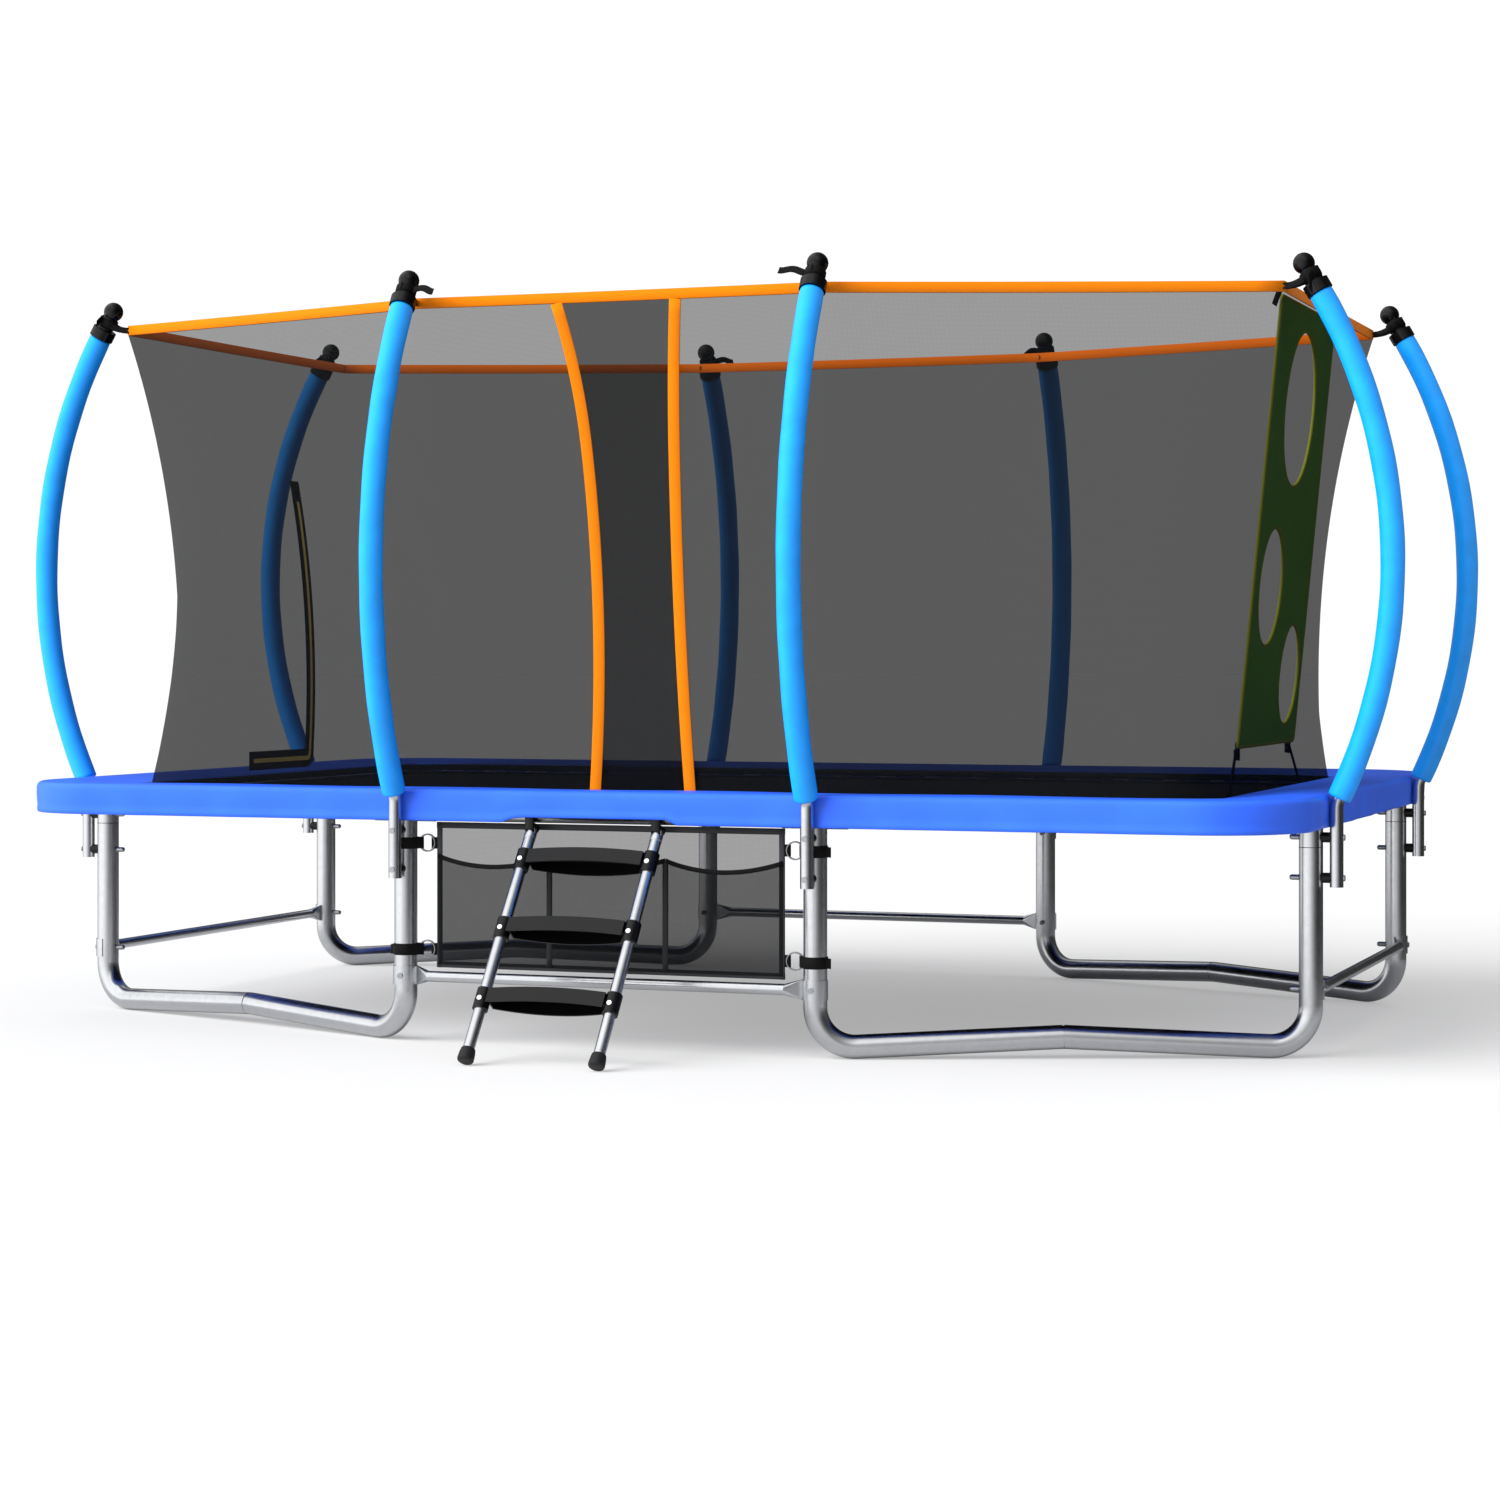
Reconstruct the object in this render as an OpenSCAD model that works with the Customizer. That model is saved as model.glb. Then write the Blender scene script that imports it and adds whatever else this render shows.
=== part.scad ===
// Rectangular garden trampoline with a netted enclosure, a ladder and an under-bed organiser.
// Millimetres, +Z up. The origin is on the ground, on the vertical centre line of the frame.
// +X runs along the long side and -Y faces the ladder and the doorway.

/* [Frame] */
// Distance from the centre line to the axis of a leg on a short side
leg_end_x = 1723; // [1500:1:1900]
// Distance from the centre line to the same leg across the bed
leg_end_y = 670; // [560:1:700]
// Distance from the centre line to the axis of a leg on a long side
leg_side_x = 565; // [500:1:640]
// Distance from the centre line to the same leg across the bed
leg_side_y = 1110; // [1080:1:1250]
// Outside diameter of the leg tube and of the frame rail
leg_d = 60; // [52:0.5:64]
// Wall of the leg tube and of the frame rail
tube_wall = 2; // [1.5:0.1:3]
// Height of the axis of the frame rail
rail_z = 605; // [560:1:700]
// Radius of the frame rail's axis at a corner
rail_corner_r = 215; // [180:1:260]
// Height of the seam between a leg and its socket
seam_z = 527; // [480:1:530]
// Length of a socket's sleeve along the rail
socket_len = 170; // [130:1:200]
// Extra wall of a socket's sleeve outside the rail
sleeve_wall = 2; // [1.5:0.1:3]
// Centre-line radius of the bend at the foot of a leg
foot_bend_r = 100; // [80:1:120]
// Rise of a floor tube from its foot to the kink in its middle
kink_rise = 24; // [12:1:40]
// Length of the swaged end of a tube inside the next one
swage_len = 40; // [25:1:42]

/* [Braces] */
// Outside diameter of a brace tube
brace_d = 28; // [20:1:32]
// Height of a brace's axis
brace_z = 172; // [165:1:240]
// Height of a brace's flattened end
saddle_h = 50; // [36:1:60]
// Thickness of a brace's flattened end
saddle_t = 3.5; // [2.5:0.5:5]

/* [Poles] */
// Outside diameter of a net pole
pole_d = 34; // [28:0.5:38]
// Distance from a leg's axis to its pole's axis
pole_offset = 64; // [62:0.5:80]
// Height of a pole's lower end
pole_z0 = 428; // [400:1:435]
// Height of the lower bolt through pole and leg
bolt_low_z = 451; // [445:1:480]
// Height of the upper bolt through pole and leg
bolt_high_z = 552; // [545:1:555]
// Radius of the curve of a pole's axis
pole_r = 1363; // [1200:1:1600]
// How far that curve stands out beyond the pole's straight foot
pole_bow = 139; // [120:1:150]
// Height of the centre of that curve
pole_centre_z = 1237.5; // [1150:0.5:1300]
// Radius of the bend under the foam sleeve
pole_bend_r = 60; // [50:1:90]
// Angle of the pole's top above the centre of its curve
pole_top_angle = 29.7; // [26:0.1:31]
// Outside diameter of a foam sleeve
foam_d = 61; // [50:1:72]
// Clearance between a foam sleeve and its pole
foam_fit = 0.5; // [0.2:0.1:1]
// Diameter of the ball on a pole cap
ball_d = 55; // [45:1:65]
// Distance from a foam sleeve's end to the middle of the ball
ball_reach = 84; // [75:1:95]

/* [Bed] */
// Distance from the frame rail's axis to the edge of the mat
mat_gap = 198; // [185:1:230]
// Height of the top of the mat
mat_z = 621; // [615:0.5:623]
// Thickness of the mat
mat_t = 3; // [2:0.5:4]
// Corner radius of the mat
mat_corner_r = 60; // [30:1:100]
// Springs on each half of a long side
springs_long = 10; // [6:1:12]
// Springs on each half of a short side
springs_short = 6; // [4:1:7]
// Outside diameter of a spring's coil
spring_d = 20; // [16:1:22]
// Length of a spring's coil
spring_len = 104; // [80:1:110]

/* [Safety pad] */
// Overhang of the pad outside the frame rail's axis
pad_over = 46; // [44:0.5:46]
// Width of the pad from its outer face to its inner edge
pad_w = 250; // [220:1:258]
// Height of the pad's top over the frame rail
pad_top_z = 660; // [655:1:670]
// Height of the pad's top at its inner edge
pad_inner_z = 651; // [645:1:658]
// Height of the lower edge of the pad's skirt
skirt_z = 577; // [570:1:582]
// Lift of the skirt's edge over the ladder
skirt_lift = 18; // [0:1:20]

/* [Net] */
// Inset of the net's lower edge from the frame rail's axis
net_inset = 208; // [207:1:215]
// Corner radius of the net's lower edge
net_corner_r = 150; // [80:1:200]
// Inset of the net's upper corners from the leg axes
net_top_inset = 66; // [60:1:90]
// Height of the lower edge of the net
net_z0 = 628; // [626:1:640]
// Height of the lower edge of the top band
band_z = 1917; // [1880:1:1925]
// Height of the top band
band_h = 28; // [20:1:40]
// Share by which the net is drawn in at its waist
net_waist = 0.04; // [0:0.005:0.05]
// Thickness of the net
net_t = 2.4; // [1.5:0.1:3]
// Middle of the doorway along the long side
door_x = 13; // [-60:1:60]
// Width between the doorway's strips at the top
door_w = 300; // [240:5:400]
// Width of a doorway strip
strip_w = 32; // [20:1:40]

/* [Zip] */
// Place of the zip's upright run along the short side
zip_y = 150; // [60:1:240]
// Height of the top of the zip
zip_top_z = 1529; // [1300:1:1600]
// Height of the zip's lower run
zip_low_z = 691; // [680:1:720]
// Length of the zip's lower run
zip_run = 375; // [250:5:450]
// Width of the zip's tape
zip_w = 48; // [36:1:56]

/* [Target board] */
// Distance from the centre line to the board's front edge
board_y = 640; // [600:1:645]
// Width of the target board
board_w = 740; // [640:5:745]
// Height of the target board's lower edge
board_z0 = 773; // [740:1:820]
// Thickness of the target board
board_t = 6; // [4:0.5:7]
// Diameter of the large hole
hole_large_d = 405; // [380:5:420]
// Diameter of the middle hole
hole_middle_d = 305; // [260:5:310]
// Diameter of the small hole
hole_small_d = 268; // [200:2:272]

/* [Organiser] */
// Width of the organiser
organiser_w = 962; // [900:1:980]
// Setback of the organiser's panel behind the line of the side legs
organiser_back = 12; // [10:1:16]
// Height of the organiser's lower edge
organiser_z0 = 193; // [185:1:215]
// Height of the organiser's upper edge
organiser_z1 = 572; // [560:1:573]
// Depth of the organiser's pockets
pocket_depth = 22; // [18:1:26]
// Height of the pockets
pocket_h = 292; // [240:1:300]
// Width of the webbing straps
webbing_w = 30; // [20:1:34]

/* [Ladder] */
// Middle of the ladder along the long side
ladder_x = -24; // [-40:1:20]
// Distance between the ladder's rails
ladder_w = 348; // [320:1:352]
// Outside diameter of a ladder rail
ladder_d = 30; // [25:1:32]
// Lean of the ladder from the vertical
ladder_lean = 36.5; // [34:0.5:38]
// Spacing of the treads' heights
tread_step = 165.5; // [150:0.5:168]
// Height of the lowest tread's rivets
tread_low_z = 146; // [135:1:160]
// Depth of a tread from front to back at its middle
tread_depth = 74; // [60:1:80]
// Radial clearance between a ladder hook and the frame rail
hook_fit = 0.3; // [0.1:0.05:0.5]

/* [Hidden] */
$fn = 48;

steel = "#b9bcc0";
dark_steel = "#8d9095";
black = "#1c1c1e";
foam_blue = "#35b6ff";
pad_blue = "#3f75ff";
orange = "#ff930f";
net_grey = "#55585c";
board_green = "#3f6b2a";

leg_r = leg_d / 2;
pole_rad = pole_d / 2;
fit = 0.2;
bore_d = leg_d - 2 * tube_wall;
bolt_d = 8;
bolt_hole_d = 8.6;
head_h = 4;
head_d = 15;
nut_d = 14;
nut_len = 24;

// Angle of a floor tube in plan, its half length between two legs, and its rise
base_angle = atan2(leg_side_y - leg_end_y, leg_end_x - leg_side_x);
base_half = norm([leg_end_x - leg_side_x, leg_side_y - leg_end_y]) / 2;
kink_angle = atan2(kink_rise, base_half - foot_bend_r);
seam_gap = leg_r * tan(kink_angle) + 0.3;
shoulder = 6;
swage_bore = bore_d - 2 * tube_wall - 2 * fit;

// The eight legs: place, outward direction, direction of the floor tube, true for a side leg
LEGS = [
    [-leg_end_x, -leg_end_y, 180, -base_angle, false],
    [-leg_side_x, -leg_side_y, -90, 180 - base_angle, true],
    [leg_side_x, -leg_side_y, -90, base_angle, true],
    [leg_end_x, -leg_end_y, 0, 180 + base_angle, false],
    [leg_end_x, leg_end_y, 0, 180 - base_angle, false],
    [leg_side_x, leg_side_y, 90, -base_angle, true],
    [-leg_side_x, leg_side_y, 90, 180 + base_angle, true],
    [-leg_end_x, leg_end_y, 180, base_angle, false]
];

sleeve_r = leg_r + sleeve_wall;
sleeve_gap = 25;

// Springs: distances of their axes from the middle of a side, and the shape of a spring
corner_mid = [leg_end_x - rail_corner_r, leg_side_y - rail_corner_r];
spring_pitch_x = corner_mid.x / springs_long;
spring_pitch_y = corner_mid.y / springs_short;
mat_x = leg_end_x - mat_gap;
mat_y = leg_side_y - mat_gap;
wire_d = 4;
hook_z = mat_z + 6;
spring_z = hook_z - spring_d / 2 + wire_d / 2 + 1;
ring_reach = 30;
ring_w = 34;
hook_drop = 12;
rail_hook_x = sqrt(pow(leg_r, 2) - pow(hook_z - rail_z, 2));
corner_mat_mid = [mat_x - mat_corner_r, mat_y - mat_corner_r];
corner_dir = atan2(corner_mid.y + rail_corner_r * sin(45) - corner_mat_mid.y,
                   corner_mid.x + rail_corner_r * cos(45) - corner_mat_mid.x);

// Poles: centre of the curve behind the leg axis, and where the curve starts
pole_centre_out = pole_offset + pole_bow - pole_r;
pole_start = acos((pole_r - pole_bow + pole_bend_r) / (pole_r + pole_bend_r));
pole_bend_z = pole_centre_z - (pole_r + pole_bend_r) * sin(pole_start);
pole_joint = 6;
pole_wall = 1.5;
pole_bore = pole_d - 2 * pole_wall;
pole_cap_angle = pole_top_angle + 1.5;
cap_play = 0.8;
collar_d = 68;
collar_h = 28;
neck_d = 42;
spacer_d = 26;

// Net: lower outline, upper corners and waist
net_x = leg_end_x - net_inset;
net_y = leg_side_y - net_inset;
top_end = [leg_end_x - net_top_inset, leg_end_y];
top_side = [leg_side_x, leg_side_y - net_top_inset];
net_h = band_z - net_z0;
net_rows = 10;
net_seam = 4;
band_t = 4;
board_hold = -0.35;
curtain_gap = 6;

// Places that follow the net
function lerp(a, b, t) = a + (b - a) * t;
function net_z(t) = net_z0 + net_h * t;
function net_t_at(z) = (z - net_z0) / net_h;
function waist(t, bow) = 1 - net_waist * 4 * t * (1 - t) * bow;
function net_point(low, high, t, bow) =
    let (p = lerp(low, high, t) * waist(t, bow)) [p.x, p.y, net_z(t)];
function end_net_x(t, bow) = lerp(net_x, top_end.x, t) * waist(t, bow);
function side_net_y(t) = lerp(net_y, top_side.y, t) * waist(t, 1);
function smooth(v) = let (c = min(1, max(0, v))) c * c * (3 - 2 * c);

// Doorway: half its width and its middle at height t
door_flare = 15;
function door_spread(t) = door_flare * pow(max(0, t - 0.72) / 0.28, 2);
function door_half(t) =
    lerp(0.9, 1, t) * door_w / 2 - 0.19 * door_w / 2 * 4 * t * (1 - t) + door_spread(t);
function door_mid(t) = lerp(door_x + 5, door_x - 5, t) - 0.6 * door_spread(t);

// Target board: its foot leans in from the top band
board_top_z = band_z - 5;
board_top_x = top_end.x - 12;
board_low_x = lerp(net_x, top_end.x, net_t_at(board_z0)) + 1;
board_lean = atan2(board_top_x - board_low_x, board_top_z - board_z0);
board_edge = 60;
tie_inset = 30;
tie_drift = [-10, 190];
tie_d = 6;
tie_stand = 9;
clip_d = 14;
clip_h = 26;
board_h = norm([board_top_x - board_low_x, board_top_z - board_z0]);

// Zip: its distance out at height z, on the flat cells of the net
zip_t = 2.4;
function zip_x(z) = let (row = net_t_at(z) * net_rows, low = floor(row))
    -lerp(end_net_x(low / net_rows, 1), end_net_x((low + 1) / net_rows, 1), row - low);

// Organiser: its panel stands behind the line of the side legs, clear of the ladder
organiser_y = -leg_side_y + organiser_back;
organiser_t = 4;
border_w = 13;
pocket_top_z = organiser_z0 + pocket_h;
divider_x = organiser_w / 6;
strap_z = [240, 517];
ring_r = 22;
ring_wire = 3.5;
ring_play = 0.9;
ring_gap = 5;
strap_t = 2;

// Ladder: a line that passes below the axis of the front rail
ladder_dir = [0, sin(ladder_lean), cos(ladder_lean)];
ladder_miss = 13.8;
ladder_top_gap = 42;
bracket_d = ladder_d + 10;
bracket_z = [-22, 34];
rivet_d = 12;
tread_front = bracket_d / 2;
tread_w = ladder_w - bracket_d + 6;
tread_top = 30;
tread_arch = 8;
tread_bow = 22;
tread_wall = 4;
apron_low = -10;
back_low = -1;
hook_t = 6.5;
hook_w = 26;
hook_wrap = 12;
hook_shank = 56;
boot_d = 38;
boot_h = 46;
ladder_top = [0, -leg_side_y, rail_z] - ladder_top_gap * ladder_dir
    + ladder_miss * [0, cos(ladder_lean), -sin(ladder_lean)];
function ladder_y(z) = ladder_top.y - (ladder_top.z - z) * tan(ladder_lean);

// ---------------------------------------------------------------- helpers

// Places its children at leg k, with +X pointing outward
module at_leg(k) {
    translate([LEGS[k][0], LEGS[k][1], 0]) rotate([0, 0, LEGS[k][2]]) children();
}

// A straight tube along +X
module tube_x(length, outer, inner) {
    rotate([0, 90, 0]) pipe_z(length, outer, inner);
}

// A straight tube along +Z
module pipe_z(length, outer, inner) {
    difference() {
        cylinder(d = outer, h = length);
        translate([0, 0, -1]) cylinder(d = inner, h = length + 2);
    }
}

// Two concentric circles, moved along +X
module ring_2d(at, outer, inner, sides = 48) {
    translate([at, 0]) difference() {
        circle(d = outer, $fn = sides);
        circle(d = inner, $fn = sides);
    }
}

// A rod of diameter d along +X between two distances
module rod_x(from, to, d) {
    translate([from, 0, 0]) rotate([0, 90, 0]) cylinder(d = d, h = to - from);
}

// Outline of a belt round a circle at the origin and one at distance d along +X
function belt(r1, r2, d) = let (a = acos((r1 - r2) / d), n = 12) concat(
    [for (i = [0:2 * n]) let (v = a + (360 - 2 * a) * i / (2 * n)) r1 * [cos(v), sin(v)]],
    [for (i = [0:n]) let (v = -a + 2 * a * i / n) [d, 0] + r2 * [cos(v), sin(v)]]);

// A band of webbing, w wide and t thick, round the same two circles
module webbing_loop(r1, r2, d, w, t) {
    translate([0, 0, -w / 2]) linear_extrude(height = w) difference() {
        polygon(belt(r1 + t, r2 + t, d));
        polygon(belt(r1, r2, d));
    }
}

// A solid between a grid of points and the same grid moved by shift
module sheet_solid(rows, shift) {
    n = len(rows);
    m = len(rows[0]);
    face = [for (row = rows) for (p = row) p];
    back = [for (p = face) p + shift];
    size = n * m;
    function id(i, j) = i * m + j;
    cells = [for (i = [0:n - 2]) for (j = [0:m - 2]) [id(i, j), id(i, j + 1), id(i + 1, j + 1), id(i + 1, j)]];
    rim = concat([for (j = [0:m - 1]) id(0, j)],
                 [for (i = [1:n - 1]) id(i, m - 1)],
                 [for (j = [m - 2:-1:0]) id(n - 1, j)],
                 [for (i = [n - 2:-1:1]) id(i, 0)]);
    k = len(rim);
    faces = concat(
        [for (c = cells) [c[0], c[1], c[2]]],
        [for (c = cells) [c[0], c[2], c[3]]],
        [for (c = cells) [size + c[0], size + c[2], size + c[1]]],
        [for (c = cells) [size + c[0], size + c[3], size + c[2]]],
        [for (e = [0:k - 1]) let (a = rim[e], b = rim[(e + 1) % k]) [a, size + a, size + b]],
        [for (e = [0:k - 1]) let (a = rim[e], b = rim[(e + 1) % k]) [a, size + b, b]]);
    turned = cross(rows[0][1] - rows[0][0], rows[1][0] - rows[0][0]) * shift < 0;
    polyhedron(
        points = concat(face, back),
        faces = turned ? [for (f = faces) [f[2], f[1], f[0]]] : faces,
        convexity = 6);
}

// ---------------------------------------------------------------- frame

// Places its children at every spring of one quarter, with +X pointing out across the gap
module at_quarter_springs() {
    for (i = [0:springs_long - 1])
        translate([(i + 0.5) * spring_pitch_x, mat_y, 0]) rotate([0, 0, 90]) children();
    for (i = [0:springs_short - 1])
        translate([mat_x, (i + 0.5) * spring_pitch_y, 0]) children();
}

// Places its children at all four corners in turn, mirrored from the first
module in_quarters() {
    for (mx = [0, 1]) for (my = [0, 1]) mirror([mx, 0, 0]) mirror([0, my, 0]) children();
}

// The holes in the rail that take the spring hooks
module spring_holes() {
    at_quarter_springs() translate([0, 0, hook_z]) rod_x(mat_gap - leg_d, mat_gap, 9);
    translate([corner_mat_mid.x, corner_mat_mid.y, hook_z]) rotate([0, 0, corner_dir])
        rod_x(corner_span - leg_d, corner_span, 9);
}
corner_span = norm([corner_mid.x + rail_corner_r * cos(45) - corner_mat_mid.x,
                    corner_mid.y + rail_corner_r * sin(45) - corner_mat_mid.y]);

// The corner tube of the back right quarter, mirrored to its own corner
module frame_corner(mx, my) {
    along_x = corner_mid.x - leg_side_x - sleeve_gap;
    along_y = corner_mid.y - leg_end_y - sleeve_gap;
    color(steel) mirror([mx, 0, 0]) mirror([0, my, 0]) difference() {
        translate([corner_mid.x, corner_mid.y, rail_z]) {
            rotate_extrude(angle = 90) ring_2d(rail_corner_r, leg_d, bore_d);
            translate([-along_x, rail_corner_r, 0]) tube_x(along_x, leg_d, bore_d);
            translate([rail_corner_r, 0, 0]) rotate([0, 0, -90]) tube_x(along_y, leg_d, bore_d);
        }
        spring_holes();
    }
}

module straight_rail(half, out, turn) {
    color(steel) difference() {
        rotate([0, 0, turn]) translate([-half, out, rail_z]) tube_x(2 * half, leg_d, bore_d);
        in_quarters() spring_holes();
    }
}

// One socket: a sleeve along the rail with a stub for the leg and its upper bolt hole
module t_socket() {
    translate([0, 0, rail_z]) rotate([0, 0, 90]) translate([-socket_len / 2, 0, 0]) difference() {
        union() {
            rod_x(0, socket_len, 2 * sleeve_r);
            translate([socket_len / 2, 0, seam_z - rail_z]) cylinder(d = leg_d, h = rail_z - seam_z);
        }
        rod_x(-1, socket_len + 1, leg_d + 2 * fit);
        translate([socket_len / 2, 0, seam_z - rail_z - 1])
            cylinder(d = bore_d + 2 * fit, h = rail_z - seam_z);
    }
}

module t_sockets() {
    color(steel) difference() {
        for (k = [0:7]) at_leg(k) difference() {
            t_socket();
            translate([0, 0, bolt_high_z]) rod_x(-leg_d, leg_d, bolt_hole_d);
        }
        in_quarters() spring_holes();
    }
}

// A leg down to its foot, the bend there and its floor tube up to distance reach
module leg_tube(reach) {
    top = seam_z - shoulder;
    bend_z = foot_bend_r + leg_r;
    run = (reach - foot_bend_r) / cos(kink_angle) - foot_bend_r * tan(kink_angle);
    translate([0, 0, bend_z]) pipe_z(top - bend_z, leg_d, bore_d);
    translate([0, 0, top]) pipe_z(shoulder, leg_d, swage_bore);
    translate([0, 0, seam_z]) pipe_z(swage_len, bore_d, swage_bore);
    translate([foot_bend_r, 0, bend_z]) rotate([90, 0, 0])
        rotate_extrude(angle = 90 + kink_angle, start = 180) ring_2d(foot_bend_r, leg_d, bore_d);
    translate([foot_bend_r, 0, bend_z]) rotate([0, -kink_angle, 0])
        translate([0, 0, -foot_bend_r]) tube_x(run, leg_d, bore_d);
}

// Bolt holes of a leg; turn is its outward direction seen from its floor tube
module leg_holes(turn) {
    rotate([0, 0, turn]) for (z = [bolt_low_z, bolt_high_z, brace_z])
        translate([0, 0, z]) rod_x(-leg_d, leg_d, bolt_hole_d);
}

// A leg on a short side: its floor tube is open at the seam for the side leg's swaged end
module leg_end(k) {
    color(steel) translate([LEGS[k][0], LEGS[k][1], 0]) rotate([0, 0, LEGS[k][3]]) difference() {
        leg_tube(base_half - seam_gap);
        leg_holes(LEGS[k][2] - LEGS[k][3]);
    }
}

// A leg on a long side: its floor tube ends in a swage that turns down into the other tube
module leg_side(k) {
    reach = base_half - seam_gap;
    kink_z = leg_r + foot_bend_r + (base_half - foot_bend_r) * tan(kink_angle)
        - foot_bend_r / cos(kink_angle);
    color(steel) translate([LEGS[k][0], LEGS[k][1], 0]) rotate([0, 0, LEGS[k][3]]) difference() {
        union() {
            leg_tube(reach);
            translate([base_half, 0, kink_z]) {
                rotate([0, -kink_angle, 0]) translate([-seam_gap - shoulder, 0, 0])
                    tube_x(shoulder, bore_d + 1, swage_bore);
                rotate([0, kink_angle, 0]) translate([-seam_gap - shoulder / 2, 0, 0])
                    tube_x(swage_len + shoulder, bore_d - 2 * fit, swage_bore - 2 * tube_wall);
            }
        }
        leg_holes(LEGS[k][2] - LEGS[k][3]);
    }
}

// ---------------------------------------------------------------- braces

// One end of a brace: a flattened plate bent round the outside of a leg, with a fan to the tube
module brace_end() {
    inner = leg_r + fit;
    outer = inner + saddle_t;
    difference() {
        rotate_extrude(angle = 180, start = -90)
            translate([inner, -saddle_h / 2]) square([saddle_t, saddle_h]);
        rod_x(0, outer + 1, bolt_hole_d);
    }
    difference() {
        hull() {
            translate([0, outer - saddle_t, -saddle_h / 2]) cube([saddle_t, saddle_t, saddle_h]);
            translate([brace_out, outer + 40, 0]) rotate([-90, 0, 0]) cylinder(d = brace_d, h = 1, $fn = 32);
        }
        translate([0, 0, -saddle_h]) cylinder(r = inner, h = 2 * saddle_h);
    }
}
brace_out = leg_r + fit + saddle_t - brace_d / 2;

module brace(span) {
    reach = leg_r + fit + saddle_t + 40;
    color(steel) translate([0, 0, brace_z]) {
        for (m = [0, 1]) mirror([0, m, 0]) translate([0, -span, 0]) brace_end();
        translate([brace_out, -span + reach, 0]) rotate([0, 0, 90])
            tube_x(2 * (span - reach), brace_d, brace_d - 3);
    }
}

module brace_front() { translate([0, -leg_side_y, 0]) rotate([0, 0, -90]) brace(leg_side_x); }
module brace_back() { translate([0, leg_side_y, 0]) rotate([0, 0, 90]) brace(leg_side_x); }
module brace_left() { translate([-leg_end_x, 0, 0]) rotate([0, 0, 180]) brace(leg_end_y); }
module brace_right() { translate([leg_end_x, 0, 0]) brace(leg_end_y); }

// ---------------------------------------------------------------- poles

// A ring swept along the pole's curve between two angles
module pole_arc(from, to, outer, inner) {
    translate([pole_centre_out, 0, pole_centre_z]) rotate([90, 0, 0])
        rotate_extrude(angle = to - from, start = from, $fn = 240)
            ring_2d(pole_r, outer, inner, 32);
}

// Places its children at an angle of the curve, with +Z along the pole
module on_pole(angle) {
    translate([pole_centre_out, 0, pole_centre_z]) rotate([0, -angle, 0]) translate([pole_r, 0, 0])
        children();
}

// The straight foot, the bend at the pad and the start of the curve
module pole_lower() {
    difference() {
        translate([pole_centre_out, 0, pole_centre_z]) rotate([90, 0, 0]) rotate([0, 0, -pole_start]) {
            rotate_extrude(angle = pole_start + pole_joint, $fn = 240)
                ring_2d(pole_r, pole_d, pole_bore);
            translate([pole_r + pole_bend_r, 0, 0]) {
                rotate_extrude(angle = pole_start, start = 180) ring_2d(pole_bend_r, pole_d, pole_bore);
                rotate([0, 0, pole_start]) translate([-pole_bend_r, 0, 0]) rotate([90, 0, 0])
                    pipe_z(pole_bend_z - pole_z0, pole_d, pole_bore);
            }
        }
        for (z = [bolt_low_z, bolt_high_z])
            translate([0, 0, z]) rod_x(pole_offset - pole_d, pole_offset + pole_d, bolt_hole_d);
    }
}

// The upper pole: a shoulder and a swage inside the lower one, and the rest of the curve
module pole_upper() {
    swage_d = pole_bore - 2 * fit;
    pole_arc(pole_joint - 2, pole_joint, swage_d, swage_d - 2 * pole_wall);
    pole_arc(pole_joint, pole_joint + 0.3, pole_d, swage_d - 2 * pole_wall);
    pole_arc(pole_joint + 0.3, pole_cap_angle, pole_d, pole_bore);
}

module pole_cap() {
    on_pole(pole_top_angle) difference() {
        union() {
            cylinder(d = collar_d, h = collar_h);
            cylinder(d = neck_d, h = ball_reach - ball_d / 3);
            translate([0, 0, ball_reach]) sphere(d = ball_d);
        }
        translate([0, 0, -1]) cylinder(d = pole_d + 2 * cap_play, h = collar_h + 14);
    }
}

// A spacer saddled between the leg and the pole, bored for its bolt
module pole_spacer(z) {
    translate([0, 0, z]) difference() {
        rod_x(leg_r - 8, pole_offset - 6, spacer_d);
        translate([0, 0, -spacer_d]) cylinder(r = leg_r + 0.1, h = 2 * spacer_d);
        translate([pole_offset, 0, -spacer_d]) cylinder(r = pole_rad + 0.1, h = 2 * spacer_d);
        rod_x(0, pole_offset, bolt_hole_d);
    }
}

module foam_sleeve() {
    pole_arc(-pole_start, pole_top_angle - 0.02, foam_d, pole_d + 2 * foam_fit);
}

module lower_poles(a, b) { color(steel) for (k = [a, b]) at_leg(k) pole_lower(); }
module foam_pair(a, b) { color(foam_blue) for (k = [a, b]) at_leg(k) foam_sleeve(); }
module pole_tops() { color(steel) for (k = [0:7]) at_leg(k) pole_upper(); }
module pole_caps() { color(black) for (k = [0:7]) at_leg(k) pole_cap(); }
module pole_spacers() {
    color(black) for (k = [0:7]) at_leg(k) for (z = [bolt_low_z, bolt_high_z]) pole_spacer(z);
}

// A bolt with a round head outside at distance out, reaching through to the inner face of the leg
module bolt(z, out) {
    translate([0, 0, z]) {
        rod_x(-leg_r - nut_len / 2, out + 1, bolt_d);
        rod_x(out, out + head_h, head_d);
    }
}

module bolts() {
    color(dark_steel) for (k = [0:7]) at_leg(k) {
        for (z = [bolt_low_z, bolt_high_z]) bolt(z, pole_offset + pole_rad + fit);
        bolt(brace_z, leg_r + 2 * fit + saddle_t);
    }
}

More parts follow.
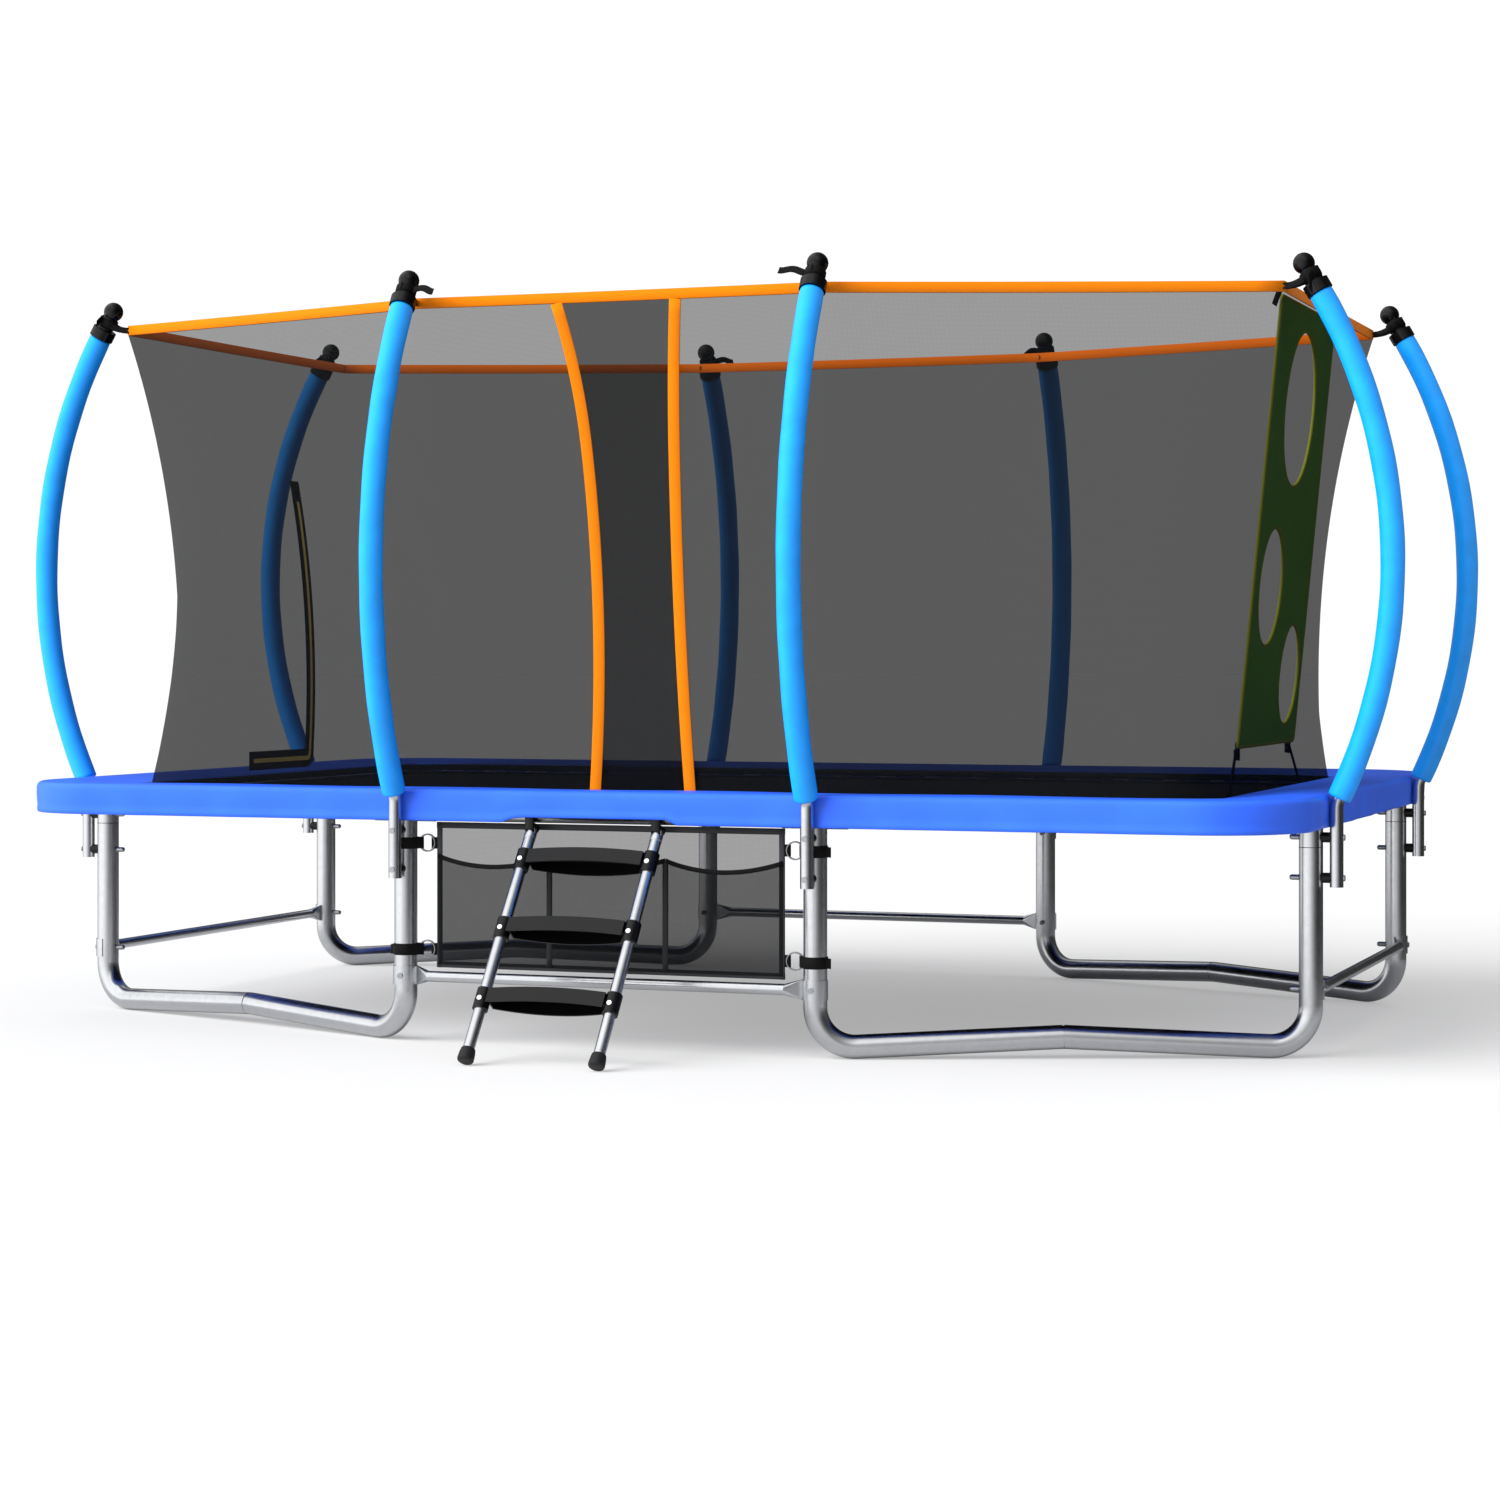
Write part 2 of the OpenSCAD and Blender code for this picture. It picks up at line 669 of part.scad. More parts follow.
// A long domed nut against the inner face of the leg
module dome_nut(z) {
    translate([-leg_r - fit, 0, z]) rotate([0, -90, 0]) difference() {
        union() {
            cylinder(d = nut_d, h = nut_len - nut_d / 2);
            translate([0, 0, nut_len - nut_d / 2]) sphere(d = nut_d);
        }
        translate([0, 0, -1]) cylinder(d = bolt_d + 2 * fit, h = nut_len / 2 + 2);
    }
}

module dome_nuts() {
    color(dark_steel) for (k = [0:7]) at_leg(k)
        for (z = [bolt_low_z, bolt_high_z, brace_z]) dome_nut(z);
}

// ---------------------------------------------------------------- bed

// A spring over a gap: its coil, and a hook at each end that turns down
module spring(gap, body) {
    body_x = gap - rail_hook_x - 22 - body;
    difference() {
        translate([0, 0, spring_z]) rod_x(body_x, body_x + body, spring_d);
        translate([0, 0, spring_z]) rod_x(body_x - 1, body_x + body + 1, spring_d - 2 * wire_d);
    }
    for (end = [[ring_reach - 9, body_x + 1], [body_x + body - 1, gap - rail_hook_x + 12]])
        translate([0, 0, hook_z]) rod_x(end[0], end[1], wire_d);
    translate([ring_reach - 9, 0, hook_z - hook_drop]) cylinder(d = wire_d, h = hook_drop + wire_d / 2);
    translate([gap - rail_hook_x + 12, 0, hook_z - hook_drop + 4])
        cylinder(d = wire_d, h = hook_drop + wire_d / 2 - 4);
}

module springs() {
    color(steel) in_quarters() {
        at_quarter_springs() spring(mat_gap, spring_len);
        translate([corner_mat_mid.x, corner_mat_mid.y, 0]) rotate([0, 0, corner_dir])
            translate([mat_corner_r, 0, 0])
                spring(corner_span - mat_corner_r, spring_len + corner_span - mat_corner_r - mat_gap);
    }
}

// A triangular ring lying on the edge of the mat, its point outward
module v_ring() {
    wire = 4;
    translate([0, 0, mat_z + fit]) linear_extrude(height = wire - 1) difference() {
        polygon([[-12, -ring_w / 2], [ring_reach, -4], [ring_reach, 4], [-12, ring_w / 2]]);
        polygon([[-8, 4 - ring_w / 2], [ring_reach - 4, -1.5], [ring_reach - 4, 1.5], [-8, ring_w / 2 - 4]]);
    }
}

module v_rings() {
    color(dark_steel) in_quarters() {
        at_quarter_springs() v_ring();
        translate([corner_mat_mid.x, corner_mat_mid.y, 0]) rotate([0, 0, corner_dir])
            translate([mat_corner_r, 0, 0]) v_ring();
    }
}

// A rectangle with round corners, given by its half sizes
module round_rect(half_x, half_y, r) {
    union() {
        square([2 * (half_x - r), 2 * half_y], center = true);
        square([2 * half_x, 2 * (half_y - r)], center = true);
        for (sx = [-1, 1]) for (sy = [-1, 1]) translate([sx * (half_x - r), sy * (half_y - r)])
            circle(r = r);
    }
}

// The mat: a hem folded under its edge, and inside the hem the jumping face, which stands a little higher
hem_w = 50;
hem_step = 0.5;
module jumping_mat() {
    color(black) translate([0, 0, mat_z - mat_t]) {
        translate([0, 0, -mat_t]) linear_extrude(height = mat_t) difference() {
            round_rect(mat_x, mat_y, mat_corner_r);
            round_rect(mat_x - hem_w, mat_y - hem_w, mat_corner_r / 2);
        }
        linear_extrude(height = mat_t - hem_step) round_rect(mat_x, mat_y, mat_corner_r);
        translate([0, 0, mat_t - hem_step]) linear_extrude(height = hem_step)
            round_rect(mat_x - hem_w, mat_y - hem_w, mat_corner_r / 2);
    }
}

// Cross-section of the pad: x is the distance in from its outer face, y is the height
skirt_t = 3;
pad_under = rail_z + sleeve_r + 1;
pad_flat_w = 90;
module pad_section() {
    polygon([
        [0, skirt_z], [0, pad_top_z - 14], [1.5, pad_top_z - 7], [6, pad_top_z - 2], [14, pad_top_z],
        [pad_flat_w, pad_top_z], [pad_w - 6, pad_inner_z], [pad_w, pad_inner_z - 5],
        [pad_w, pad_inner_z - 17], [pad_w - 4, pad_inner_z - 19], [pad_flat_w, pad_under],
        [skirt_t + 6, pad_under],
        [skirt_t, pad_under - 6], [skirt_t, skirt_z]
    ]);
}

// One straight side of the pad, centred on the x axis, with its outer face at y = -out
module pad_side(half, out) {
    translate([-half, -out, 0]) rotate([90, 0, 90]) linear_extrude(height = 2 * half) pad_section();
}

module pad_corner() {
    rotate_extrude(angle = 90) translate([rail_corner_r + pad_over, 0]) mirror([1, 0]) pad_section();
}

module safety_pad() {
    out_x = leg_end_x + pad_over;
    out_y = leg_side_y + pad_over;
    lift_w = ladder_w + 2 * 50;
    color(pad_blue) difference() {
        union() {
            for (turn = [0, 180]) rotate([0, 0, turn]) pad_side(corner_mid.x, out_y);
            for (turn = [90, 270]) rotate([0, 0, turn]) pad_side(corner_mid.y, out_x);
            for (q = [[1, 1, 0], [-1, 1, 90], [-1, -1, 180], [1, -1, 270]])
                translate([q[0] * corner_mid.x, q[1] * corner_mid.y, 0]) rotate([0, 0, q[2]]) pad_corner();
        }
        translate([ladder_x, -out_y, skirt_z - 1]) rotate([90, 0, 0])
            linear_extrude(height = 20, center = true)
                polygon([[-lift_w / 2 - 20, 0], [-lift_w / 2 + 10, skirt_lift + 1],
                         [lift_w / 2 - 10, skirt_lift + 1], [lift_w / 2 + 20, 0]]);
        for (s = [-1, 1])
            translate([ladder_x + s * ladder_w / 2, -leg_side_y, rail_z])
                rod_x(-hook_w / 2 - 4, hook_w / 2 + 4, 2 * (leg_r + hook_t + 2));
    }
}

// ---------------------------------------------------------------- net

// Lower outline of the net round one corner: distance s, from the end leg to the side leg
function corner_low(s) = let (
    a = net_y - net_corner_r - leg_end_y,
    arc = net_corner_r * PI / 2,
    b = net_x - net_corner_r - leg_side_x,
    d = s * (a + arc + b),
    turn = min(90, max(0, (d - a) / net_corner_r * 180 / PI)))
    [net_x - net_corner_r + net_corner_r * cos(turn) - max(0, d - a - arc),
     leg_end_y + min(a, d) + net_corner_r * sin(turn)];

net_cols = [0.004, 0.06, 0.12, 0.18, 0.24, 0.32, 0.5, 0.75, 0.996];

// A corner of the net, in the back right quarter, from the end panel to the side panel
module net_corner(hold) {
    color(net_grey) sheet_solid(
        [for (i = [0:net_rows]) [for (s = net_cols)
            net_point(corner_low(s), lerp(top_end, top_side, s), i / net_rows,
                      lerp(hold, 1, smooth(1.6 * s)))]],
        [-0.6 * net_t, -0.8 * net_t, 0]);
}

// The net across a short side, on the right; hold is the bow where the board hangs
module net_end(hold) {
    edge = leg_end_y - net_seam;
    cols = [-1, -0.6, -0.2, 0.05, 0.2, 0.35, 0.5, 0.65, 0.8, 1];
    color(net_grey) sheet_solid(
        [for (i = [0:net_rows]) [for (s = cols)
            net_point([net_x, edge * s], [top_end.x, edge * s], i / net_rows,
                      lerp(hold, 1, smooth((s - 0.12) / 0.6)))]],
        [-net_t, 0, 0]);
}

// The net across a long side between two distances, as functions of height, at y = -out
module net_side(from, to, inset) {
    cols = [0, 0.25, 0.5, 0.75, 1];
    color(net_grey) sheet_solid(
        [for (i = [0:net_rows]) let (t = i / net_rows) [for (s = cols)
            [lerp(from[i], to[i], s), inset - side_net_y(t), net_z(t)]]],
        [0, net_t, 0]);
}

side_edge = [for (i = [0:net_rows]) (leg_side_x - net_seam) * waist(i / net_rows, 1)];
door_left = [for (i = [0:net_rows]) let (t = i / net_rows) door_mid(t) - door_half(t) - strip_w / 2];
door_right = [for (i = [0:net_rows]) let (t = i / net_rows) door_mid(t) + door_half(t) + strip_w / 2];

module net_back() { rotate([0, 0, 180]) net_side(-side_edge, side_edge, 0); }
module net_front_left() { net_side(-side_edge, door_right, 0); }
module net_front_right() { net_side(door_left, side_edge, curtain_gap); }
module net_left() { mirror([1, 0, 0]) net_end(1); }
module net_right() { net_end(board_hold); }
module net_corners_left() {
    mirror([1, 0, 0]) net_corner(1);
    mirror([1, 0, 0]) mirror([0, 1, 0]) net_corner(1);
}
module net_corners_right() {
    net_corner(1);
    mirror([0, 1, 0]) net_corner(board_hold);
}

// The top band: a ring of straight runs between the eight upper corners
module top_band() {
    function corners(grow) = [
        for (q = [[1, 1, 0], [-1, 1, 1], [-1, -1, 0], [1, -1, 1]])
            for (side = (q[2] == 0 ? [0, 1] : [1, 0]))
                let (p = side == 0 ? top_end : top_side)
                    [q[0] * (p.x + (side == 0 ? grow : grow * 0.2)),
                     q[1] * (p.y + (side == 0 ? grow * 0.5 : grow))]];
    color(orange) translate([0, 0, band_z + fit]) linear_extrude(height = band_h) difference() {
        polygon(corners(band_t / 2));
        polygon(corners(-band_t / 2));
    }
}

// Two strips sewn along the doorway
module door_strips() {
    color(orange) for (side = [-1, 1]) sheet_solid(
        [for (i = [0:net_rows]) let (t = i / net_rows, x = door_mid(t) + side * door_half(t))
            [for (s = [-1, 0, 1]) [x + s * strip_w / 2, -side_net_y(t) - 2.2, net_z(t)]]],
        [0, 2, 0]);
}

// A loop of webbing round a pole's neck and the upper corner of the net, with a loose tail
module net_strap(k) {
    side = [[-1, 8], [1, 6], [-1, 14], [1, -24], [-1, 5], [-1, 6], [1, 6], [1, 10]][k];
    loop_r = neck_d / 2 / cos(strap_turn) + strap_w / 2 * tan(strap_turn) + fit;
    on_pole(pole_top_angle) translate([0, 0, neck_at]) rotate([0, strap_turn, 0]) {
        rotate([0, 0, 180]) webbing_loop(loop_r, strap_t, strap_reach, strap_w, strap_t);
        translate([-6, side[0] * (loop_r + strap_t / 2), -8]) rotate([side[1], 0, 0])
            translate([0, side[0] * 22, 8]) cube([strap_t, 44, 16], center = true);
    }
}
neck_at = collar_h + 20;
strap_w = 22;
strap_slant = 4;
neck_point = [pole_centre_out + pole_r * cos(pole_top_angle) - neck_at * sin(pole_top_angle),
              pole_centre_z + pole_r * sin(pole_top_angle) + neck_at * cos(pole_top_angle)];
strap_end = [-net_top_inset + band_t / 2 + 2 * strap_t + strap_slant + fit, band_z + band_h / 2];
strap_reach = norm(neck_point - strap_end);
strap_turn = pole_top_angle - atan2(neck_point[1] - strap_end[1], neck_point[0] - strap_end[0]);

module net_straps() {
    color(black) for (k = [0:7]) at_leg(k) net_strap(k);
}

// ---------------------------------------------------------------- zip

// The tape: down the net's left side, then along it above the pad
module zip_tape() {
    half = zip_w / 2;
    steps = 10;
    low = zip_low_z;
    upright = [for (i = [0:steps]) let (z = lerp(zip_top_z, low + zip_w, i / steps))
        [[zip_y - half, z], [zip_y + half, z]]];
    bend = [[[zip_y - half, low + half], [zip_y + half, low - half]]];
    run = [for (i = [1:4]) let (y = lerp(zip_y - half, zip_y - zip_run, i / 4))
        [[y, low + half], [y, low - half]]];
    color(black) sheet_solid(
        [for (pair = concat(upright, bend, run)) [for (p = pair) [zip_x(p[1]) - fit, p[0], p[1]]]],
        [-zip_t, 0, 0]);
}

// The slider near the top of the upright run: a body with a pull tab, clear of the tape
module zip_slider() {
    slider_z = zip_top_z - 60;
    color(dark_steel) translate([zip_x(slider_z) - zip_t - fit - slider_gap, zip_y, slider_z])
        rotate([0, slider_tilt, 0]) {
            translate([-5, -7, -12]) cube([5, 14, 24]);
            translate([-7, -4, -44]) cube([2, 8, 40]);
        }
}
slider_gap = 0.6;
slider_tilt = atan2(zip_x(zip_top_z - 40) - zip_x(zip_top_z - 80), 40);

// ---------------------------------------------------------------- target board

// Places its children in the board's own plane: x along the board's width, y up its height
module on_board() {
    translate([board_low_x, -board_y, board_z0]) rotate([0, board_lean, 0]) rotate([90, 0, 90])
        children();
}

module target_board() {
    color(board_green) on_board() linear_extrude(height = board_t, center = true) difference() {
        square([board_w, board_h]);
        translate([board_w / 2, board_h - board_edge - hole_large_d / 2]) circle(d = hole_large_d);
        translate([board_edge + hole_middle_d / 2, board_h * 0.36]) circle(d = hole_middle_d);
        translate([board_w - board_edge / 2 - hole_small_d / 2, board_h * 0.16]) circle(d = hole_small_d);
    }
}

// A round rod between two points
module rod_between(a, b, d) {
    run = b - a;
    translate(a) rotate([0, acos(run.z / norm(run)), atan2(run.y, run.x)]) cylinder(d = d, h = norm(run));
}

// Elastic ties from the board's lower corners to the bed just inside the net, each with a clip
module target_cords() {
    color(black) for (tie = [[tie_inset, tie_drift[0]], [board_w - tie_inset, tie_drift[1]]]) {
        head = [board_low_x - tie_stand, tie[0] - board_y, board_z0 - clip_h / 2];
        foot = [net_x - net_t - 1.5 * tie_d, head.y + tie[1], net_z0 + tie_d];
        rod_between(head, foot, tie_d);
        translate([head.x, head.y, board_z0 - clip_h]) cylinder(d = clip_d, h = clip_h - 1);
        translate([head.x, head.y - clip_d / 2, board_z0 - 4])
            cube([tie_stand - board_t / 2 - fit, clip_d, 12]);
    }
}

// ---------------------------------------------------------------- organiser

// The mesh panel with its webbing border and a tab for each strap ring
module organiser_panel() {
    half = organiser_w / 2;
    tall = organiser_z1 - organiser_z0;
    color(net_grey) translate([0, organiser_y + organiser_t / 2, organiser_z0]) rotate([90, 0, 0]) {
        linear_extrude(height = organiser_t) difference() {
            translate([-half, 0]) square([organiser_w, tall]);
            translate([border_w - half, border_w]) square([organiser_w - 2 * border_w, tall - 2 * border_w]);
        }
        translate([border_w - half, border_w, 1])
            linear_extrude(height = organiser_t - 2)
                square([organiser_w - 2 * border_w, tall - 2 * border_w]);
    }
}

// Three open-topped pockets whose upper hems hang between the dividers
module organiser_pockets() {
    half = organiser_w / 2 - 2;
    edges = [-half, -divider_x, divider_x, half];
    front_y = organiser_y - organiser_t / 2 - pocket_depth;
    sag = 26;
    steps = 6;
    color(black) {
        for (p = [0:2]) let (a = edges[p], b = edges[p + 1]) translate([0, front_y, 0]) {
            rotate([90, 0, 0]) linear_extrude(height = 2) polygon(concat(
                [[a, organiser_z0 + 4], [b, organiser_z0 + 4]],
                [for (i = [0:steps]) let (u = 1 - i / steps)
                    [lerp(a, b, u), pocket_top_z - sag * 4 * u * (1 - u)]]));
        }
        for (x = [-half, -divider_x - 3, divider_x - 3, half - 6])
            translate([x, front_y - 1, organiser_z0 + 4])
                cube([6, pocket_depth + 1 - fit, pocket_h - 6]);
        translate([-half, front_y - 1, organiser_z0 + 4]) cube([2 * half, pocket_depth + 1 - fit, 3]);
    }
}

// One strap: a loop round the leg and the ring, the ring, and a loop sewn to the border
module organiser_strap(side, z) {
    ring_x = organiser_w / 2 + ring_r + ring_gap;
    chord = sqrt(pow(ring_r, 2) - pow(webbing_w / 2, 2));
    hold = ring_wire / 2 + ring_play;
    tab_x = organiser_w / 2 + fit + hold + strap_t;
    span = [ring_x + chord - leg_side_x, organiser_back];
    translate([0, -leg_side_y, z]) mirror([side > 0 ? 0 : 1, 0, 0]) {
        translate([leg_side_x, 0, 0]) rotate([0, 0, atan2(span.y, span.x)])
            webbing_loop(leg_r + fit, hold, norm(span), webbing_w, strap_t);
        translate([ring_x, organiser_back, 0]) rotate([90, 0, 0]) rotate_extrude()
            translate([ring_r, 0]) circle(d = ring_wire, $fn = 24);
        translate([tab_x, organiser_back, 0])
            webbing_loop(hold, hold, ring_x - chord - tab_x, webbing_w, strap_t);
    }
}

module organiser_straps() {
    color(black) for (side = [-1, 1]) for (z = strap_z) organiser_strap(side, z);
}

// ---------------------------------------------------------------- ladder

module at_ladder_rails() {
    for (s = [-1, 1]) translate([ladder_x + s * ladder_w / 2, 0, 0]) children();
}

// Places its children on the ladder's line at height z, with +Z up along the rail
module on_rail(z) {
    translate([0, ladder_y(z), z]) rotate([-ladder_lean, 0, 0]) children();
}

module ladder_rails() {
    low = 14;
    long = (ladder_top.z - low) / cos(ladder_lean);
    color(steel) at_ladder_rails() on_rail(low) difference() {
        cylinder(d = ladder_d, h = long);
        translate([0, 0, -1]) cylinder(d = ladder_d - 3, h = long + 2);
        for (i = [0:2]) translate([0, 0, (tread_low_z + i * tread_step - low) / cos(ladder_lean)])
            rotate([90, 0, 0]) cylinder(d = 5, h = ladder_d + 2, center = true);
    }
}

// Radius of an arc with a given chord and rise
function arc_radius(chord, rise) = (chord * chord / 4 + rise * rise) / (2 * rise);

// Plan of a tread, square to the rails: straight in front and bowed behind
module tread_plan(inset) {
    half = tread_w / 2 - inset;
    r = arc_radius(tread_w, tread_bow) - inset;
    intersection() {
        translate([-half, inset - tread_front]) square([2 * half, tread_depth]);
        translate([0, tread_depth - tread_front - inset - r]) circle(r = r, $fn = 160);
    }
}

// Everything above level low and under the tread's arch, which is lowered by drop
module under_arch(low, drop) {
    r = arc_radius(tread_w, tread_arch);
    rotate([90, 0, 0]) linear_extrude(height = 2 * tread_depth, center = true) intersection() {
        translate([-tread_w / 2, low]) square([tread_w, tread_top + tread_arch - low]);
        translate([0, tread_top + tread_arch - drop - r]) circle(r = r, $fn = 160);
    }
}

// A tray open below: its apron's lower edge is arched too, its other walls end higher
module tread_tray() {
    tall = tread_top + tread_arch - apron_low;
    r = arc_radius(tread_w, tread_arch);
    difference() {
        intersection() {
            translate([0, 0, apron_low]) linear_extrude(height = tall) tread_plan(0);
            under_arch(apron_low, 0);
        }
        intersection() {
            translate([0, 0, apron_low - 1]) linear_extrude(height = tall) tread_plan(tread_wall);
            under_arch(apron_low - 1, tread_wall);
        }
        translate([0, tread_wall - tread_front, apron_low + tread_arch - r]) rotate([90, 0, 0])
            cylinder(r = r, h = tread_wall + 1, $fn = 160);
        translate([-tread_w / 2 - 1, tread_wall - tread_front - 0.01, apron_low - 1])
            cube([tread_w + 2, tread_depth, back_low - apron_low + 1]);
    }
}

// A tread: the tray and a bracket clasping each rail
module tread() {
    difference() {
        union() {
            tread_tray();
            for (s = [-1, 1]) translate([s * ladder_w / 2, 0, bracket_z[0]])
                cylinder(d = bracket_d, h = bracket_z[1] - bracket_z[0]);
        }
        for (s = [-1, 1]) translate([s * ladder_w / 2, 0, 0]) {
            cylinder(d = ladder_d + 2 * fit, h = 4 * bracket_z[1], center = true);
            rotate([90, 0, 0]) cylinder(d = 6, h = 60, center = true);
        }
    }
}

module ladder_treads() {
    color(black) for (i = [0:2]) on_rail(tread_low_z + i * tread_step)
        translate([ladder_x, 0, 0]) tread();
}

// A rivet through each bracket, with a round head at the front
module ladder_rivets() {
    reach = bracket_d / 2 + fit;
    color("#e8e8e8") for (i = [0:2]) at_ladder_rails() on_rail(tread_low_z + i * tread_step)
        rotate([90, 0, 0]) {
            translate([0, 0, -reach]) cylinder(d = 4.6, h = 2 * reach + 1);
            for (z = [reach, -reach - 3]) translate([0, 0, z]) cylinder(d = rivet_d, h = 3);
        }
}

// A hook over the frame rail, its shank, and a sleeve round the top of the ladder rail
module ladder_hooks() {
    inner = leg_r + hook_fit;
    outer = leg_r + hook_t;
    color(black) at_ladder_rails() difference() {
        union() {
            translate([-hook_w / 2, -leg_side_y, rail_z]) rotate([90, 0, 90])
                rotate_extrude(angle = 180 + hook_wrap, start = -hook_wrap)
                    translate([inner, 0]) square([outer - inner, hook_w]);
            translate([-hook_w / 2, -leg_side_y - outer, rail_z - hook_shank])
                cube([hook_w, outer - inner, hook_shank]);
            on_rail(ladder_top.z) translate([0, 0, -34]) cylinder(d = ladder_d + 6, h = 40);
        }
        on_rail(ladder_top.z) translate([0, 0, -60]) cylinder(d = ladder_d + 2 * fit, h = 60 + fit);
    }
}

// A rubber boot on the foot of each rail, flat where it stands
module ladder_boots() {
    color(black) at_ladder_rails() difference() {
        on_rail(14) translate([0, 0, -30]) cylinder(d = boot_d, h = 30 + boot_h);
        on_rail(14) translate([0, 0, -fit]) cylinder(d = ladder_d + 2 * fit, h = 2 * boot_h);
        translate([-boot_d, ladder_y(0) - 2 * boot_d, -60]) cube([2 * boot_d, 4 * boot_d, 60]);
    }
}

// ---------------------------------------------------------------- nodes

frame_corner(1, 1);  // frame_corner_front_left
frame_corner(0, 1);  // frame_corner_front_right
frame_corner(0, 0);  // frame_corner_back_right
frame_corner(1, 0);  // frame_corner_back_left
straight_rail(leg_side_x - sleeve_gap, -leg_side_y, 0);  // frame_rail_front
straight_rail(leg_side_x - sleeve_gap, leg_side_y, 0);  // frame_rail_back
straight_rail(leg_end_y - sleeve_gap, leg_end_x, 90);  // frame_rail_left
straight_rail(leg_end_y - sleeve_gap, -leg_end_x, 90);  // frame_rail_right
t_sockets();
leg_end(0);  // leg_end_left_front
leg_side(1);  // leg_side_front_left
leg_side(2);  // leg_side_front_right
leg_end(3);  // leg_end_right_front
leg_end(4);  // leg_end_right_back
leg_side(5);  // leg_side_back_right
leg_side(6);  // leg_side_back_left
leg_end(7);  // leg_end_left_back
brace_front();
brace_back();
brace_left();
brace_right();
lower_poles(1, 2);  // poles_front
lower_poles(5, 6);  // poles_back
lower_poles(0, 7);  // poles_left
lower_poles(3, 4);  // poles_right
pole_tops();
foam_pair(1, 2);  // foam_front
foam_pair(5, 6);  // foam_back
foam_pair(0, 7);  // foam_left
foam_pair(3, 4);  // foam_right
pole_caps();
pole_spacers();
bolts();
dome_nuts();
springs();
v_rings();
jumping_mat();
safety_pad();
net_back();
net_left();
net_right();
net_front_left();
net_front_right();
net_corners_left();
net_corners_right();
top_band();
door_strips();
net_straps();
zip_tape();
zip_slider();
target_board();
target_cords();
organiser_panel();
organiser_pockets();
organiser_straps();
ladder_rails();
ladder_treads();
ladder_hooks();
ladder_boots();
ladder_rivets();
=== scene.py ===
"""Looks of a rectangular garden trampoline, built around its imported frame.

Everything is in metres, in the frame's own axes: +X along the long side, -Y towards the
ladder and the doorway, +Z up, with the origin on the ground under the middle of the bed.
"""
import logging
import math
from dataclasses import dataclass, field
from enum import Enum

import bpy
import numpy as np
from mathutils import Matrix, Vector


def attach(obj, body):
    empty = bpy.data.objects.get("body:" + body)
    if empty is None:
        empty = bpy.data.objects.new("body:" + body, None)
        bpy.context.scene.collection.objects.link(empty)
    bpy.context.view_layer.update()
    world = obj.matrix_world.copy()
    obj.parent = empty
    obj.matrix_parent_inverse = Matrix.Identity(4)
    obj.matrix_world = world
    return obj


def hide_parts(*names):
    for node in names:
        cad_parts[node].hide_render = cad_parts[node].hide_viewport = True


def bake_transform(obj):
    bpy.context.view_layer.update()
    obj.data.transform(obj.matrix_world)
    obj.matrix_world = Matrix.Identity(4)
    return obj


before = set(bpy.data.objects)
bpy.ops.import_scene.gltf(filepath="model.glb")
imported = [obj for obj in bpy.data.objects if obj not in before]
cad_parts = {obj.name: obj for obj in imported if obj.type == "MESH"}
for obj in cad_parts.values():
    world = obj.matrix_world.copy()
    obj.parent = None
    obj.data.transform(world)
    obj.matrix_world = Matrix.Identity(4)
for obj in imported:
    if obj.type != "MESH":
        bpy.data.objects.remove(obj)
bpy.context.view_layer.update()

log = logging.getLogger("trampoline")
Array = np.ndarray
Materials = dict[str, bpy.types.Material]
Colour = tuple[float, float, float, float]
TAU = 2 * math.pi
X, Y, Z = np.eye(3)


class Body(Enum):
    """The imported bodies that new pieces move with."""

    FRAME = "frame"
    BED = "bed"
    LADDER = "ladder"


class Held(Enum):
    """How a sheet of net is held."""

    STRETCHED = "stretched"
    HUNG = "hung"


class Crossing(Enum):
    """How two crossed sets of threads are put together."""

    CLOTH = "MULTIPLY"
    LATTICE = "MAXIMUM"


# ------------------------------------------------------------------ shapes


@dataclass
class Shape:
    """Points with quads, triangles and one UV pair for each point, in metres."""

    points: Array
    quads: Array
    tris: Array = field(default_factory=lambda: np.zeros((0, 3), int))
    uv: Array | None = None

    def flipped(self) -> "Shape":
        """The same surface with its faces turned round."""
        return Shape(self.points, self.quads[:, ::-1], self.tris[:, ::-1], self.uv)

    def moved(self, matrix: Array, offset: Array) -> "Shape":
        """The surface after p -> matrix p + offset; a mirror turns its faces round."""
        made = Shape(self.points @ np.asarray(matrix, float).T + offset, self.quads, self.tris, self.uv)
        return made.flipped() if np.linalg.det(matrix) < 0 else made


def joined(shapes: list[Shape]) -> Shape:
    """Puts several surfaces into one, with their point numbers moved on.

    Args:
        shapes: the surfaces, all with UVs.

    Returns:
        One surface.
    """
    starts = np.cumsum([0] + [len(s.points) for s in shapes[:-1]])
    return Shape(
        np.concatenate([s.points for s in shapes]),
        np.concatenate([s.quads + k for s, k in zip(shapes, starts)]),
        np.concatenate([s.tris + k for s, k in zip(shapes, starts)]),
        np.concatenate([s.uv for s in shapes]),
    )


def stacked(*coordinates: Array | float) -> Array:
    """Points from their coordinates; a plain number is spread to the arrays' shape."""
    return np.stack(np.broadcast_arrays(*coordinates), -1).astype(float)


